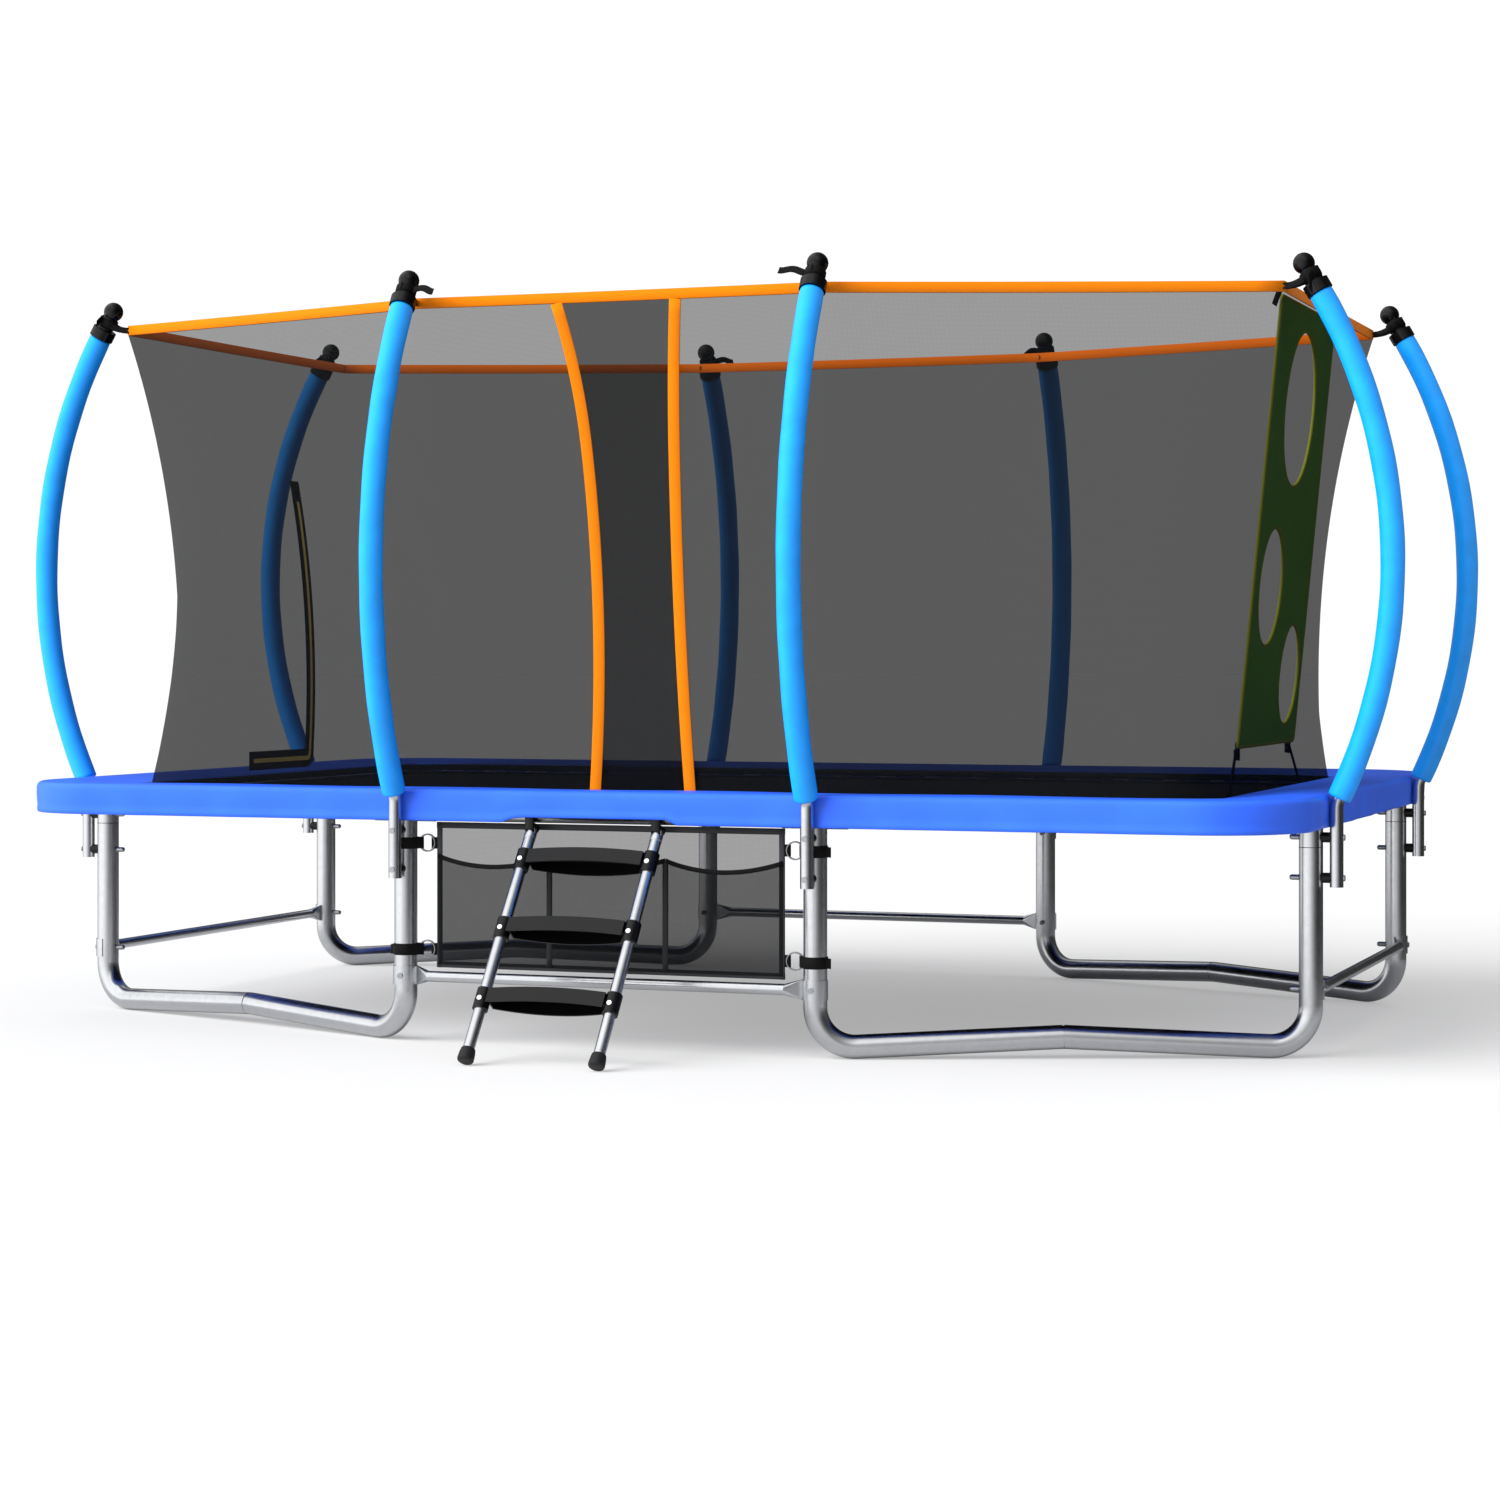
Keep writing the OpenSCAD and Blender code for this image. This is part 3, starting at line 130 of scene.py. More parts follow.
def grid_quads(rows: int, cols: int, wrap_rows: bool = False, wrap_cols: bool = False) -> Array:
    """Quads between the neighbours of a grid, numbered row by row.

    Args:
        rows: points along the first direction.
        cols: points along the second direction.
        wrap_rows: joins the last row to the first.
        wrap_cols: joins the last column to the first.

    Returns:
        Quads of point numbers.
    """
    i, j = np.meshgrid(
        np.arange(rows - (not wrap_rows)), np.arange(cols - (not wrap_cols)), indexing="ij")
    i2, j2 = (i + 1) % rows, (j + 1) % cols
    return np.stack([i * cols + j, i * cols + j2, i2 * cols + j2, i2 * cols + j], -1).reshape(-1, 4)


def surface(points: Array, wrap_rows: bool = False, wrap_cols: bool = False) -> Shape:
    """A surface through a grid of points, with UVs that are distances along it.

    Args:
        points: rows x columns x 3.
        wrap_rows: joins the last row to the first.
        wrap_cols: joins the last column to the first.

    Returns:
        The surface.
    """
    rows, cols = points.shape[:2]
    down = np.linalg.norm(np.diff(points, axis=0, prepend=points[:1]), axis=2).cumsum(0)
    along = np.linalg.norm(np.diff(points, axis=1, prepend=points[:, :1]), axis=2).cumsum(1)
    uv = stacked(along, down).reshape(-1, 2)
    return Shape(points.reshape(-1, 3), grid_quads(rows, cols, wrap_rows, wrap_cols), uv=uv)


def capped(rings: Array, ends: Array) -> Shape:
    """A surface through a row of rings, closed at both ends by a fan to a middle point.

    Args:
        rings: rings x points round each x 3.
        ends: the two middle points.

    Returns:
        A closed surface.
    """
    made = surface(rings, wrap_cols=True)
    n, m = rings.shape[:2]
    j, j2 = np.arange(m), (np.arange(m) + 1) % m
    first = np.stack([np.full(m, n * m), j2, j], -1)
    last = np.stack([np.full(m, n * m + 1), (n - 1) * m + j, (n - 1) * m + j2], -1)
    uv = np.concatenate([made.uv, made.uv[:1], made.uv[-1:]])
    return Shape(np.concatenate([made.points, ends]), made.quads, np.concatenate([first, last]), uv)


def carried(path: Array, across: Array, out: Array, profile: Array, loop: bool = False) -> Shape:
    """A closed profile carried along a path: p = path + u * across + v * out.

    Args:
        path: n x 3 points.
        across: unit vectors for the profile's first coordinate, n x 3 or one for all.
        out: the same for its second one.
        profile: m x 2, or n x m x 2 where the profile changes along the path.
        loop: joins the path's end to its start; otherwise both ends get a cap.

    Returns:
        A closed surface.
    """
    across, out = np.atleast_2d(across)[:, None], np.atleast_2d(out)[:, None]
    profile = profile[None] if profile.ndim == 2 else profile
    points = path[:, None] + profile[..., :1] * across + profile[..., 1:] * out
    if loop:
        return surface(points, wrap_rows=True, wrap_cols=True)
    return capped(points, points[[0, -1]].mean(1))


def circle(radius: float, sides: int) -> Array:
    """Points of a circle: r (cos a, sin a)."""
    a = np.arange(sides) / sides * TAU
    return radius * stacked(np.cos(a), np.sin(a))


def arc(radius: float, start: float, stop: float, count: int) -> Array:
    """Points of an arc from start to stop degrees: r (cos a, sin a)."""
    a = np.radians(np.linspace(start, stop, count))
    return radius * stacked(np.cos(a), np.sin(a))


def band_profile(width: float, thick: float) -> Array:
    """A flat band's cross-section, with its two edges brought to a blunt point."""
    w, t = width / 2, thick / 2
    return np.array([[-w + t, -t], [w - t, -t], [w, 0], [w - t, t], [-w + t, t], [-w, 0]])


def tangents(path: Array, loop: bool = False) -> Array:
    """Unit directions along a path, from each point's two neighbours."""
    return unit(np.roll(path, -1, 0) - np.roll(path, 1, 0) if loop else np.gradient(path, axis=0))


def unit(v: Array) -> Array:
    """Vectors at length one."""
    return v / np.linalg.norm(v, axis=-1, keepdims=True)


def tube(path: Array, radius: float, sides: int, up: Array, loop: bool = False) -> Shape:
    """A round tube: a circle carried along a path, square to it.

    Args:
        path: n x 3 points.
        radius: the tube's radius.
        sides: points round it.
        up: a direction that the path never runs along.
        loop: joins the path's end to its start.

    Returns:
        A closed surface.
    """
    along = tangents(path, loop)
    side = unit(np.cross(np.asarray(up, float), along))
    return carried(path, side, np.cross(along, side), circle(radius, sides), loop)


def boxes(centres: Array, axes: tuple[Array, Array, Array], size: Array) -> Shape:
    """Many equal blocks: corner = centre + sum of +-half size along its own axes.

    Args:
        centres: n x 3.
        axes: three times n x 3 unit vectors, or one that all blocks share.
        size: the block's three sizes.

    Returns:
        All blocks as one surface.
    """
    n = len(centres)
    signs = np.array([[x, y, z] for z in (-1, 1) for y in (-1, 1) for x in (-1, 1)]) / 2 * size
    spread = [np.broadcast_to(a, (n, 3))[:, None] for a in axes]
    points = centres[:, None] + sum(signs[None, :, k:k + 1] * spread[k] for k in range(3))
    quad = np.array([[0, 2, 3, 1], [4, 5, 7, 6], [0, 1, 5, 4], [2, 6, 7, 3], [0, 4, 6, 2], [1, 3, 7, 5]])
    quads = (quad[None] + 8 * np.arange(n)[:, None, None]).reshape(-1, 4)
    return Shape(points.reshape(-1, 3), quads, uv=points.reshape(-1, 3)[:, :2])


def eased(v: Array) -> Array:
    """Goes from 0 to 1 with level ends: 3 v^2 - 2 v^3."""
    v = np.clip(v, 0, 1)
    return v * v * (3 - 2 * v)


def lifted(flat: Array, height: float | Array = 0.0) -> Array:
    """Points or directions of the plan, (x, y), at a height."""
    return stacked(flat[..., 0], flat[..., 1], height)


def rounded_rectangle(half_x: float, half_y: float, radius: float, step: float) -> tuple[Array, Array]:
    """Points round a rectangle with arcs at its corners, and the outward directions there.

    Args:
        half_x: half the length.
        half_y: half the width.
        radius: the corner radius.
        step: distance between points on the straight sides.

    Returns:
        The points and the unit normals, n x 2 each, counter-clockwise.
    """
    points, normals = [], []
    turns = max(6, int(radius * math.pi / 2 / step * 1.5) + 2)
    for k, (sx, sy) in enumerate([(1, 1), (-1, 1), (-1, -1), (1, -1)]):
        direction = arc(1.0, 90 * k, 90 * (k + 1), turns)
        centre = np.array([sx * (half_x - radius), sy * (half_y - radius)])
        points.append(centre + radius * direction)
        normals.append(direction)
        length = 2 * (half_x if k % 2 == 0 else half_y) - 2 * radius
        count = int(length / step)
        share = np.arange(1, count)[:, None] / count
        ahead = np.array([-direction[-1, 1], direction[-1, 0]])
        points.append(points[-1][-1] + share * length * ahead)
        normals.append(np.broadcast_to(direction[-1], (count - 1, 2)))
    return np.concatenate(points), np.concatenate(normals)


def fill_mesh(mesh: bpy.types.Mesh, shape: Shape, smooth: bool) -> None:
    """Puts a surface's points, faces and UVs into an empty mesh.

    Args:
        mesh: the mesh.
        shape: the surface.
        smooth: shades it smooth.
    """
    loops = np.concatenate([shape.quads.ravel(), shape.tris.ravel()]).astype(np.int32)
    sizes = np.repeat([4, 3], [len(shape.quads), len(shape.tris)])
    starts = np.concatenate([[0], np.cumsum(sizes)[:-1]]).astype(np.int32)
    mesh.vertices.add(len(shape.points))
    mesh.vertices.foreach_set("co", shape.points.astype(np.float32).ravel())
    mesh.loops.add(len(loops))
    mesh.loops.foreach_set("vertex_index", loops)
    mesh.polygons.add(len(sizes))
    mesh.polygons.foreach_set("loop_start", starts)
    mesh.polygons.foreach_set("use_smooth", np.full(len(sizes), smooth))
    layer = mesh.uv_layers.new(name="UVMap")
    layer.data.foreach_set("uv", shape.uv[loops].astype(np.float32).ravel())
    mesh.update(calc_edges=True)
    mesh.validate()


def piece(name: str, shape: Shape, material: bpy.types.Material, replaces: tuple[str, ...] = (),
          body: Body | None = Body.FRAME, smooth: bool = True) -> bpy.types.Object:
    """Makes a surface into an object that rides on a body.

    Args:
        name: the piece's name.
        shape: its surface, in place.
        material: its finish.
        replaces: the nodes that it stands for.
        body: the body that it moves with, or None for a piece that rides on no body.
        smooth: shades it smooth.

    Returns:
        The object.
    """
    mesh = bpy.data.meshes.new(name)
    fill_mesh(mesh, shape, smooth)
    mesh.materials.append(material)
    made = bpy.data.objects.new(name, mesh)
    bpy.context.scene.collection.objects.link(made)
    if body is not None:
        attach(made, body.value)
    if replaces:
        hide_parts(*replaces)
    log.info("%s: %d faces", name, len(mesh.polygons))
    return made


def cloth(name: str, grid: Array, material: bpy.types.Material, node: str) -> None:
    """A sheet of net: a surface through its grid.

    Args:
        name: the piece's name.
        grid: its points, rows x columns x 3.
        material: its finish.
        node: the node that it stands for.
    """
    made = piece(name, surface(grid), material, (node,))


# ------------------------------------------------------------------ finishes

# A wave texture repeats every 0.314 / scale metres.
WAVE = 0.314


def linear(code: str) -> Colour:
    """A colour written as sRGB hex, such as #3f75ff, in linear light."""
    c = np.array([int(code[k:k + 2], 16) for k in (1, 3, 5)]) / 255
    c = np.where(c <= 0.04045, c / 12.92, ((c + 0.055) / 1.055) ** 2.4)
    return float(c[0]), float(c[1]), float(c[2]), 1.0


def grey(value: float) -> Colour:
    """An even grey in linear light."""
    return value, value, value, 1.0


def plug(tree: bpy.types.NodeTree, node: bpy.types.Node, sockets: dict) -> None:
    """Sets a node's inputs.

    Args:
        tree: the node's tree.
        node: the node.
        sockets: input name or number to a value or to another node's output.
    """
    for key, value in sockets.items():
        if isinstance(value, bpy.types.NodeSocket):
            tree.links.new(value, node.inputs[key])
        else:
            node.inputs[key].default_value = value


def add(tree: bpy.types.NodeTree, kind: str, sockets: dict | None = None,
        stops: list[tuple[float, Colour]] | None = None, **settings: object) -> bpy.types.Node:
    """Adds a node with its settings and links.

    Args:
        tree: the material's node tree.
        kind: the node's type.
        sockets: input name or number to a value or to another node's output.
        stops: positions and colours of its band, where it has one.
        settings: the node's own properties.

    Returns:
        The node.
    """
    made = tree.nodes.new(kind)
    for name, value in settings.items():
        setattr(made, name, value)
    if stops:
        band = made.color_ramp.elements
        while len(band) < len(stops):
            band.new(0.5)
        for element, (position, colour) in zip(band, stops):
            element.position = position
            element.color = colour
    plug(tree, made, sockets or {})
    return made


def threads(tree: bpy.types.NodeTree, where: bpy.types.NodeSocket,
            pitch: float) -> list[bpy.types.NodeSocket]:
    """Two crossed sets of soft ridges, one pitch apart.

    Args:
        tree: the material's node tree.
        where: the coordinates that the ridges follow.
        pitch: distance between ridges.

    Returns:
        The height of the ridges across X and across Y.
    """
    return [
        add(tree, "ShaderNodeTexWave", {"Vector": where, "Scale": WAVE / pitch},
            bands_direction=way).outputs["Fac"]
        for way in ("X", "Y")]


def weave(tree: bpy.types.NodeTree, where: bpy.types.NodeSocket, pitch: float,
          crossing: Crossing) -> bpy.types.NodeSocket:
    """Crossed threads in one height: their product for a cloth, their maximum for a lattice.

    Args:
        tree: the material's node tree.
        where: the coordinates that the threads follow.
        pitch: distance between threads.
        crossing: how the two heights are put together.

    Returns:
        The height.
    """
    across, along = threads(tree, where, pitch)
    return add(tree, "ShaderNodeMath", {0: across, 1: along}, operation=crossing.value).outputs[0]


@dataclass(frozen=True)
class Finish:
    """A surface: its name, colour and roughness, and what a subclass adds to them."""

    name: str
    colour: str
    roughness: float = 0.5

    def material(self) -> bpy.types.Material:
        """The Blender material: one shader, whose inputs the kind of finish fills.

        Returns:
            The material.
        """
        material = bpy.data.materials.new(self.name)
        material.use_nodes = True
        tree = material.node_tree
        tree.nodes.clear()
        shader = add(tree, "ShaderNodeBsdfPrincipled", {
            "Base Color": linear(self.colour), "Roughness": self.roughness})
        add(tree, "ShaderNodeOutputMaterial", {"Surface": shader.outputs[0]})
        where = add(tree, "ShaderNodeTexCoord").outputs
        plug(tree, shader, self.inputs(tree, where["Object"], where["UV"]))
        return material

    def inputs(self, tree: bpy.types.NodeTree, where: bpy.types.NodeSocket,
               uv: bpy.types.NodeSocket) -> dict[str, object]:
        """What a kind of finish plugs into its shader.

        Args:
            tree: the material's node tree.
            where: Object coordinates.
            uv: the piece's own UV map.

        Returns:
            Shader input to a value or to a node's output.
        """
        return {}

    def uneven(self, tree: bpy.types.NodeTree, value: bpy.types.NodeSocket, less: float,
               more: float) -> bpy.types.NodeSocket:
        """The roughness, from less below to more above it.

        Args:
            tree: the material's node tree.
            value: the pattern, from 0 to 1.
            less: how much smoother the surface is at 0.
            more: how much rougher it is at 1.

        Returns:
            The roughness.
        """
        return add(tree, "ShaderNodeMapRange", {
            "Value": value, "To Min": self.roughness - less, "To Max": self.roughness + more}).outputs[0]

    def shaded(self, tree: bpy.types.NodeTree, value: bpy.types.NodeSocket, deep: float,
               stops: tuple[float, float]) -> bpy.types.NodeSocket:
        """The colour over a pattern: times deep up to the first stop, full from the second.

        Args:
            tree: the material's node tree.
            value: the pattern, from 0 to 1.
            deep: what the colour is multiplied by in its depths.
            stops: where the depths end and the full colour starts.

        Returns:
            The colour.
        """
        base = np.array(linear(self.colour))
        dark = (*(base[:3] * deep), 1.0)
        band = [(stops[0], dark), (stops[1], tuple(base))]
        return add(tree, "ShaderNodeValToRGB", {"Fac": value}, band).outputs["Color"]


@dataclass(frozen=True)
class GalvanisedSteel(Finish):
    """Drawn and zinc-dipped tube: bright, with faint zinc flowers and fine drawing lines."""

    flower: float = 0.014
    grain: float = 0.0012

    def inputs(self, tree: bpy.types.NodeTree, where: bpy.types.NodeSocket,
               uv: bpy.types.NodeSocket) -> dict[str, object]:
        """Colour from zinc flowers, roughness from clouds, bump from a fine grain.

        Args:
            tree: the material's node tree.
            where: Object coordinates.
            uv: the piece's own UV map.

        Returns:
            Shader input to a value or to a node's output.
        """
        flowers = add(tree, "ShaderNodeTexVoronoi", {"Vector": where, "Scale": 1 / self.flower})
        clouds = add(tree, "ShaderNodeTexNoise", {"Vector": where, "Scale": 6.0, "Detail": 3.0})
        grain = add(tree, "ShaderNodeTexNoise", {"Vector": where, "Scale": 1 / self.grain, "Detail": 1.0})
        bump = add(tree, "ShaderNodeBump", {
            "Height": grain.outputs["Fac"], "Strength": 0.05, "Distance": 0.0003})
        return {
            "Base Color": self.shaded(tree, flowers.outputs["Color"], 0.93, (0.0, 1.0)),
            "Roughness": self.uneven(tree, clouds.outputs["Fac"], 0.06, 0.07),
            "Normal": bump.outputs[0], "Metallic": 1.0}


@dataclass(frozen=True)
class MouldedPlastic(Finish):
    """Injection-moulded polypropylene: an even colour under a fine spark-eroded grain."""

    grain: float = 0.0009
    depth: float = 0.00006
    gloss: float = 0.3

    def inputs(self, tree: bpy.types.NodeTree, where: bpy.types.NodeSocket,
               uv: bpy.types.NodeSocket) -> dict[str, object]:
        """Bump from the mould's grain, roughness a little uneven from handling.

        Args:
            tree: the material's node tree.
            where: Object coordinates.
            uv: the piece's own UV map.

        Returns:
            Shader input to a value or to a node's output.
        """
        grain = add(tree, "ShaderNodeTexNoise", {"Vector": where, "Scale": 1 / self.grain, "Detail": 2.0})
        wear = add(tree, "ShaderNodeTexNoise", {"Vector": where, "Scale": 18.0, "Detail": 4.0})
        bump = add(tree, "ShaderNodeBump", {
            "Height": grain.outputs["Fac"], "Strength": 0.5, "Distance": self.depth})
        return {
            "Roughness": self.uneven(tree, wear.outputs["Fac"], 0.05, 0.08),
            "Normal": bump.outputs[0], "Specular IOR Level": self.gloss}


@dataclass(frozen=True)
class WovenWebbing(Finish):
    """Flat polyester webbing: dull, with ribs across the band that its own UVs carry."""

    rib: float = 0.0022

    def inputs(self, tree: bpy.types.NodeTree, where: bpy.types.NodeSocket,
               uv: bpy.types.NodeSocket) -> dict[str, object]:
        """Two crossed waves make the weave; painted shade makes the valleys a little darker.

        Args:
            tree: the material's node tree.
            where: Object coordinates.
            uv: the piece's own UV map.

        Returns:
            Shader input to a value or to a node's output.
        """
        height = weave(tree, uv, self.rib, Crossing.CLOTH)
        bump = add(tree, "ShaderNodeBump", {"Height": height, "Strength": 0.5, "Distance": 0.0004})
        return {
            # painted shade: the colour falls to 0.72 of itself in the weave's valleys
            "Base Color": self.shaded(tree, height, 0.72, (0.0, 0.6)),
            "Normal": bump.outputs[0], "Specular IOR Level": 0.15}


@dataclass(frozen=True)
class KnittedNet(Finish):
    """Warp-knitted polyester net: fine black threads over holes, light through it as through smoked glass.

    The real threads are 1.6 mm apart; they are drawn at mesh so that a close view shows them.
    """

    cover: float = 0.69
    mesh: float = 0.0032

    def inputs(self, tree: bpy.types.NodeTree, where: bpy.types.NodeSocket,
               uv: bpy.types.NodeSocket) -> dict[str, object]:
        """Opacity is a woven lattice round the average cover.

        Args:
            tree: the material's node tree.
            where: Object coordinates.
            uv: the piece's own UV map.

        Returns:
            Shader input to a value or to a node's output.
        """
        lattice = weave(tree, uv, self.mesh, Crossing.LATTICE)
        cover = add(tree, "ShaderNodeMapRange", {
            "Value": lattice, "From Min": 0.1, "From Max": 0.95,
            "To Min": self.cover - 0.07, "To Max": self.cover + 0.04})
        return {"Alpha": cover.outputs[0], "Specular IOR Level": 0.05}


@dataclass(frozen=True)
class CoatedFabric(Finish):
    """PVC-coated polyester: the weave shows faintly through a smooth skin, with soft creases."""

    thread: float = 0.0016
    crease: float = 0.09
    crease_depth: float = 0.0015
    coat: float = 0.2

    def inputs(self, tree: bpy.types.NodeTree, where: bpy.types.NodeSocket,
               uv: bpy.types.NodeSocket) -> dict[str, object]:
        """Bump from threads and creases, and painted shade that makes the colour a little deeper in the
        creases.

        Args:
            tree: the material's node tree.
            where: Object coordinates.
            uv: the piece's own UV map.

        Returns:
            Shader input to a value or to a node's output.
        """
        creases = add(tree, "ShaderNodeTexNoise", {
            "Vector": where, "Scale": 1 / self.crease, "Detail": 3.0}).outputs["Fac"]
        soft = add(tree, "ShaderNodeBump", {
            "Height": creases, "Strength": 0.6, "Distance": self.crease_depth})
        fine = add(tree, "ShaderNodeBump", {
            "Height": weave(tree, where, self.thread, Crossing.CLOTH), "Strength": 0.25,
            "Distance": 0.00015, "Normal": soft.outputs[0]})
        return {
            # painted shade: the colour falls to 0.88 of itself in the creases
            "Base Color": self.shaded(tree, creases, 0.88, (0.3, 0.7)),
            "Normal": fine.outputs[0], "Coat Weight": self.coat, "Coat Roughness": 0.3}


@dataclass(frozen=True)
class BlackRubber(Finish):
    """Moulded rubber: nearly black, dull, dusted by the ground at its foot."""

    dust: str = "#57534c"
    dusted: float = 0.02

    def inputs(self, tree: bpy.types.NodeTree, where: bpy.types.NodeSocket,
               uv: bpy.types.NodeSocket) -> dict[str, object]:
        """A pale dust fades out with the height above the ground.

        Args:
            tree: the material's node tree.
            where: Object coordinates.
            uv: the piece's own UV map.

        Returns:
            Shader input to a value or to a node's output.
        """
        height = add(tree, "ShaderNodeSeparateXYZ", {0: where}).outputs["Z"]
        speck = add(tree, "ShaderNodeTexNoise", {"Vector": where, "Scale": 140.0, "Detail": 4.0})
        low = add(tree, "ShaderNodeMapRange", {
            "Value": height, "From Max": self.dusted, "To Min": 0.5, "To Max": 0.0})
        share = add(tree, "ShaderNodeMath", {0: low.outputs[0], 1: speck.outputs["Fac"]},
                    operation="MULTIPLY")
        dusty = add(tree, "ShaderNodeValToRGB", {"Fac": share.outputs[0]}, [
            (0.0, linear(self.colour)), (0.6, linear(self.dust))])
        return {"Base Color": dusty.outputs["Color"]}


@dataclass(frozen=True)
class WovenMat(Finish):
    """Woven polypropylene tape: a tight plain weave, black, with a slight sheen along the tapes."""

    tape: float = 0.004

    def inputs(self, tree: bpy.types.NodeTree, where: bpy.types.NodeSocket,
               uv: bpy.types.NodeSocket) -> dict[str, object]:
        """A chequer of tapes that run along X and Y in turn.

        Args:
            tree: the material's node tree.
            where: Object coordinates.
            uv: the piece's own UV map.

        Returns:
            Shader input to a value or to a node's output.
        """
        across, along = threads(tree, where, self.tape)
        chequer = add(tree, "ShaderNodeTexChecker", {"Vector": where, "Scale": 1 / self.tape})
        height = add(tree, "ShaderNodeMix", {0: chequer.outputs["Fac"], 2: across, 3: along})
        bump = add(tree, "ShaderNodeBump", {
            "Height": height.outputs[0], "Strength": 0.5, "Distance": 0.0004})
        return {"Normal": bump.outputs[0], "Specular IOR Level": 0.15}


@dataclass(frozen=True)
class Palette:
    """Every finish of the trampoline, made once."""

    leg_steel: Finish = GalvanisedSteel("galvanised_leg_tube", "#d3d5d8", 0.24)
    pole_steel: Finish = GalvanisedSteel("galvanised_pole_tube", "#cfd1d5", 0.2)
    fastener: Finish = GalvanisedSteel("zinc_plated_fastener", "#a9acb0", 0.32, flower=0.005)
    spring: Finish = GalvanisedSteel("galvanised_spring_wire", "#c3c6ca", 0.3, flower=0.004)
    cap: Finish = MouldedPlastic("black_moulded_cap", "#050506", 0.16)
    plastic: Finish = MouldedPlastic("black_moulded_polypropylene", "#060607", 0.30)
    rivet: Finish = MouldedPlastic("white_moulded_rivet", "#f2f2f2", 0.35)
    rubber: Finish = BlackRubber("black_moulded_rubber", "#111112", 0.6)
    foam: Finish = CoatedFabric(
        "sky_blue_foam_sleeve", "#0c9cff", 0.45, crease=0.05, crease_depth=0.0005, coat=0.0)
    pad: Finish = CoatedFabric(
        "royal_blue_coated_cover", "#2863f2", 0.45, crease=0.12, crease_depth=0.0012, coat=0.0)
    mat: Finish = WovenMat("black_woven_mat", "#070708", 0.9)
    net: Finish = KnittedNet("black_knitted_net", "#0d0e0f", 0.9)
    pocket: Finish = KnittedNet("black_knitted_pocket", "#0f1012", 0.9, cover=0.66)
    orange: Finish = WovenWebbing("orange_woven_binding", "#e87c00", 0.55)
    # painted shade: a redder copy of the orange binding for the band's inner face, coloured as that face
    # looks in shade
    painted_shade_face: Finish = WovenWebbing("painted_shade_orange_inner_face", "#ff7a10", 0.55)
    webbing: Finish = WovenWebbing("black_woven_webbing", "#0c0c0d", 0.6)
    border: Finish = WovenWebbing("grey_woven_border", "#3a3b3e", 0.65)
    divider: Finish = WovenWebbing("dark_woven_divider", "#242527", 0.65)
    tape: Finish = WovenWebbing("black_zip_tape", "#101011", 0.6, rib=0.0012)
    gilt: Finish = GalvanisedSteel("gilt_zip_slider", "#d6a436", 0.3, flower=0.004)
    teeth: Finish = MouldedPlastic("gold_moulded_teeth", "#ffdf86", 0.35)
    board: Finish = CoatedFabric(
        "green_board_cover", "#78c43a", 0.6, crease=0.2, crease_depth=0.001, coat=0.0)
    piping: Finish = WovenWebbing("olive_woven_piping", "#bcc43c", 0.6)

    def made(self) -> Materials:
        """All materials by the field's name."""
        return {key: getattr(self, key).material() for key in self.__dataclass_fields__}


# ------------------------------------------------------------------ the frame


@dataclass(frozen=True)
class Legs:
    """Where the eight legs stand, shared by poles, sleeves, straps and net."""

    end_x: float = 1.723
    end_y: float = 0.670
    side_x: float = 0.565
    side_y: float = 1.110

    def stations(self) -> list[tuple[Array, float]]:
        """Each leg's place and its outward direction in degrees, clockwise from the front left end.

        Returns:
            Places in plan, with their angles.
        """
        ex, ey, sx, sy = self.end_x, self.end_y, self.side_x, self.side_y
        plan = [(-ex, -ey, 180), (-sx, -sy, -90), (sx, -sy, -90), (ex, -ey, 0),
                (ex, ey, 0), (sx, sy, 90), (-sx, sy, 90), (-ex, ey, 180)]
        return [(np.array([x, y, 0]), angle) for x, y, angle in plan]

    @staticmethod
    def turn(angle: float) -> Array:
        """The rotation about Z that carries +X to a leg's outward direction, in degrees."""
        c, s = math.cos(math.radians(angle)), math.sin(math.radians(angle))
        return np.array([[c, -s, 0], [s, c, 0], [0, 0, 1]])


@dataclass(frozen=True)
class Steelwork:
    """Tubes, braces, poles and fasteners: CAD shapes that only take their finish."""

    legs: tuple[str, ...] = (
        "leg_end_left_front", "leg_side_front_left", "leg_side_front_right", "leg_end_right_front",
        "leg_end_right_back", "leg_side_back_right", "leg_side_back_left", "leg_end_left_back",
        "brace_front", "brace_back", "brace_left", "brace_right",
        "frame_corner_front_left", "frame_corner_front_right", "frame_corner_back_right",
        "frame_corner_back_left", "frame_rail_front", "frame_rail_back", "frame_rail_left",
        "frame_rail_right", "t_sockets", "ladder_rails")
    poles: tuple[str, ...] = ("poles_front", "poles_back", "poles_left", "poles_right", "pole_tops")
    fasteners: tuple[str, ...] = ("bolts", "dome_nuts", "v_rings")
    plastics: tuple[str, ...] = ("pole_spacers", "ladder_treads")

    def dress(self, finish: Materials) -> None:
        """Gives each CAD node its material.

        Args:
            finish: every material by its name in the palette.
        """
        plan = {
            "leg_steel": self.legs, "pole_steel": self.poles, "fastener": self.fasteners,
            "plastic": self.plastics, "cap": ("pole_caps",),
            "rivet": ("ladder_rivets",), "gilt": ("zip_slider",)}
        for key, names in plan.items():
            for name in names:
                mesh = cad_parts[name].data
                mesh.materials.clear()
                mesh.materials.append(finish[key])
            log.info("%s on %d nodes", finish[key].name, len(names))


@dataclass(frozen=True)
class LegSeams:
    """The dark joint line on each leg, where the tube meets the socket's stub."""

    legs: Legs = Legs()
    height: float = 0.527
    radius: float = 0.0301
    line: float = 0.0009
    sides: int = 40

    def build(self, finish: Materials) -> None:
        """One ring round each leg."""
        ring = lifted(circle(self.radius, self.sides), self.height)
        made = [tube(ring + place, self.line, 6, Z, loop=True) for place, _ in self.legs.stations()]
        piece("leg_joint_lines", joined(made), finish["rubber"])


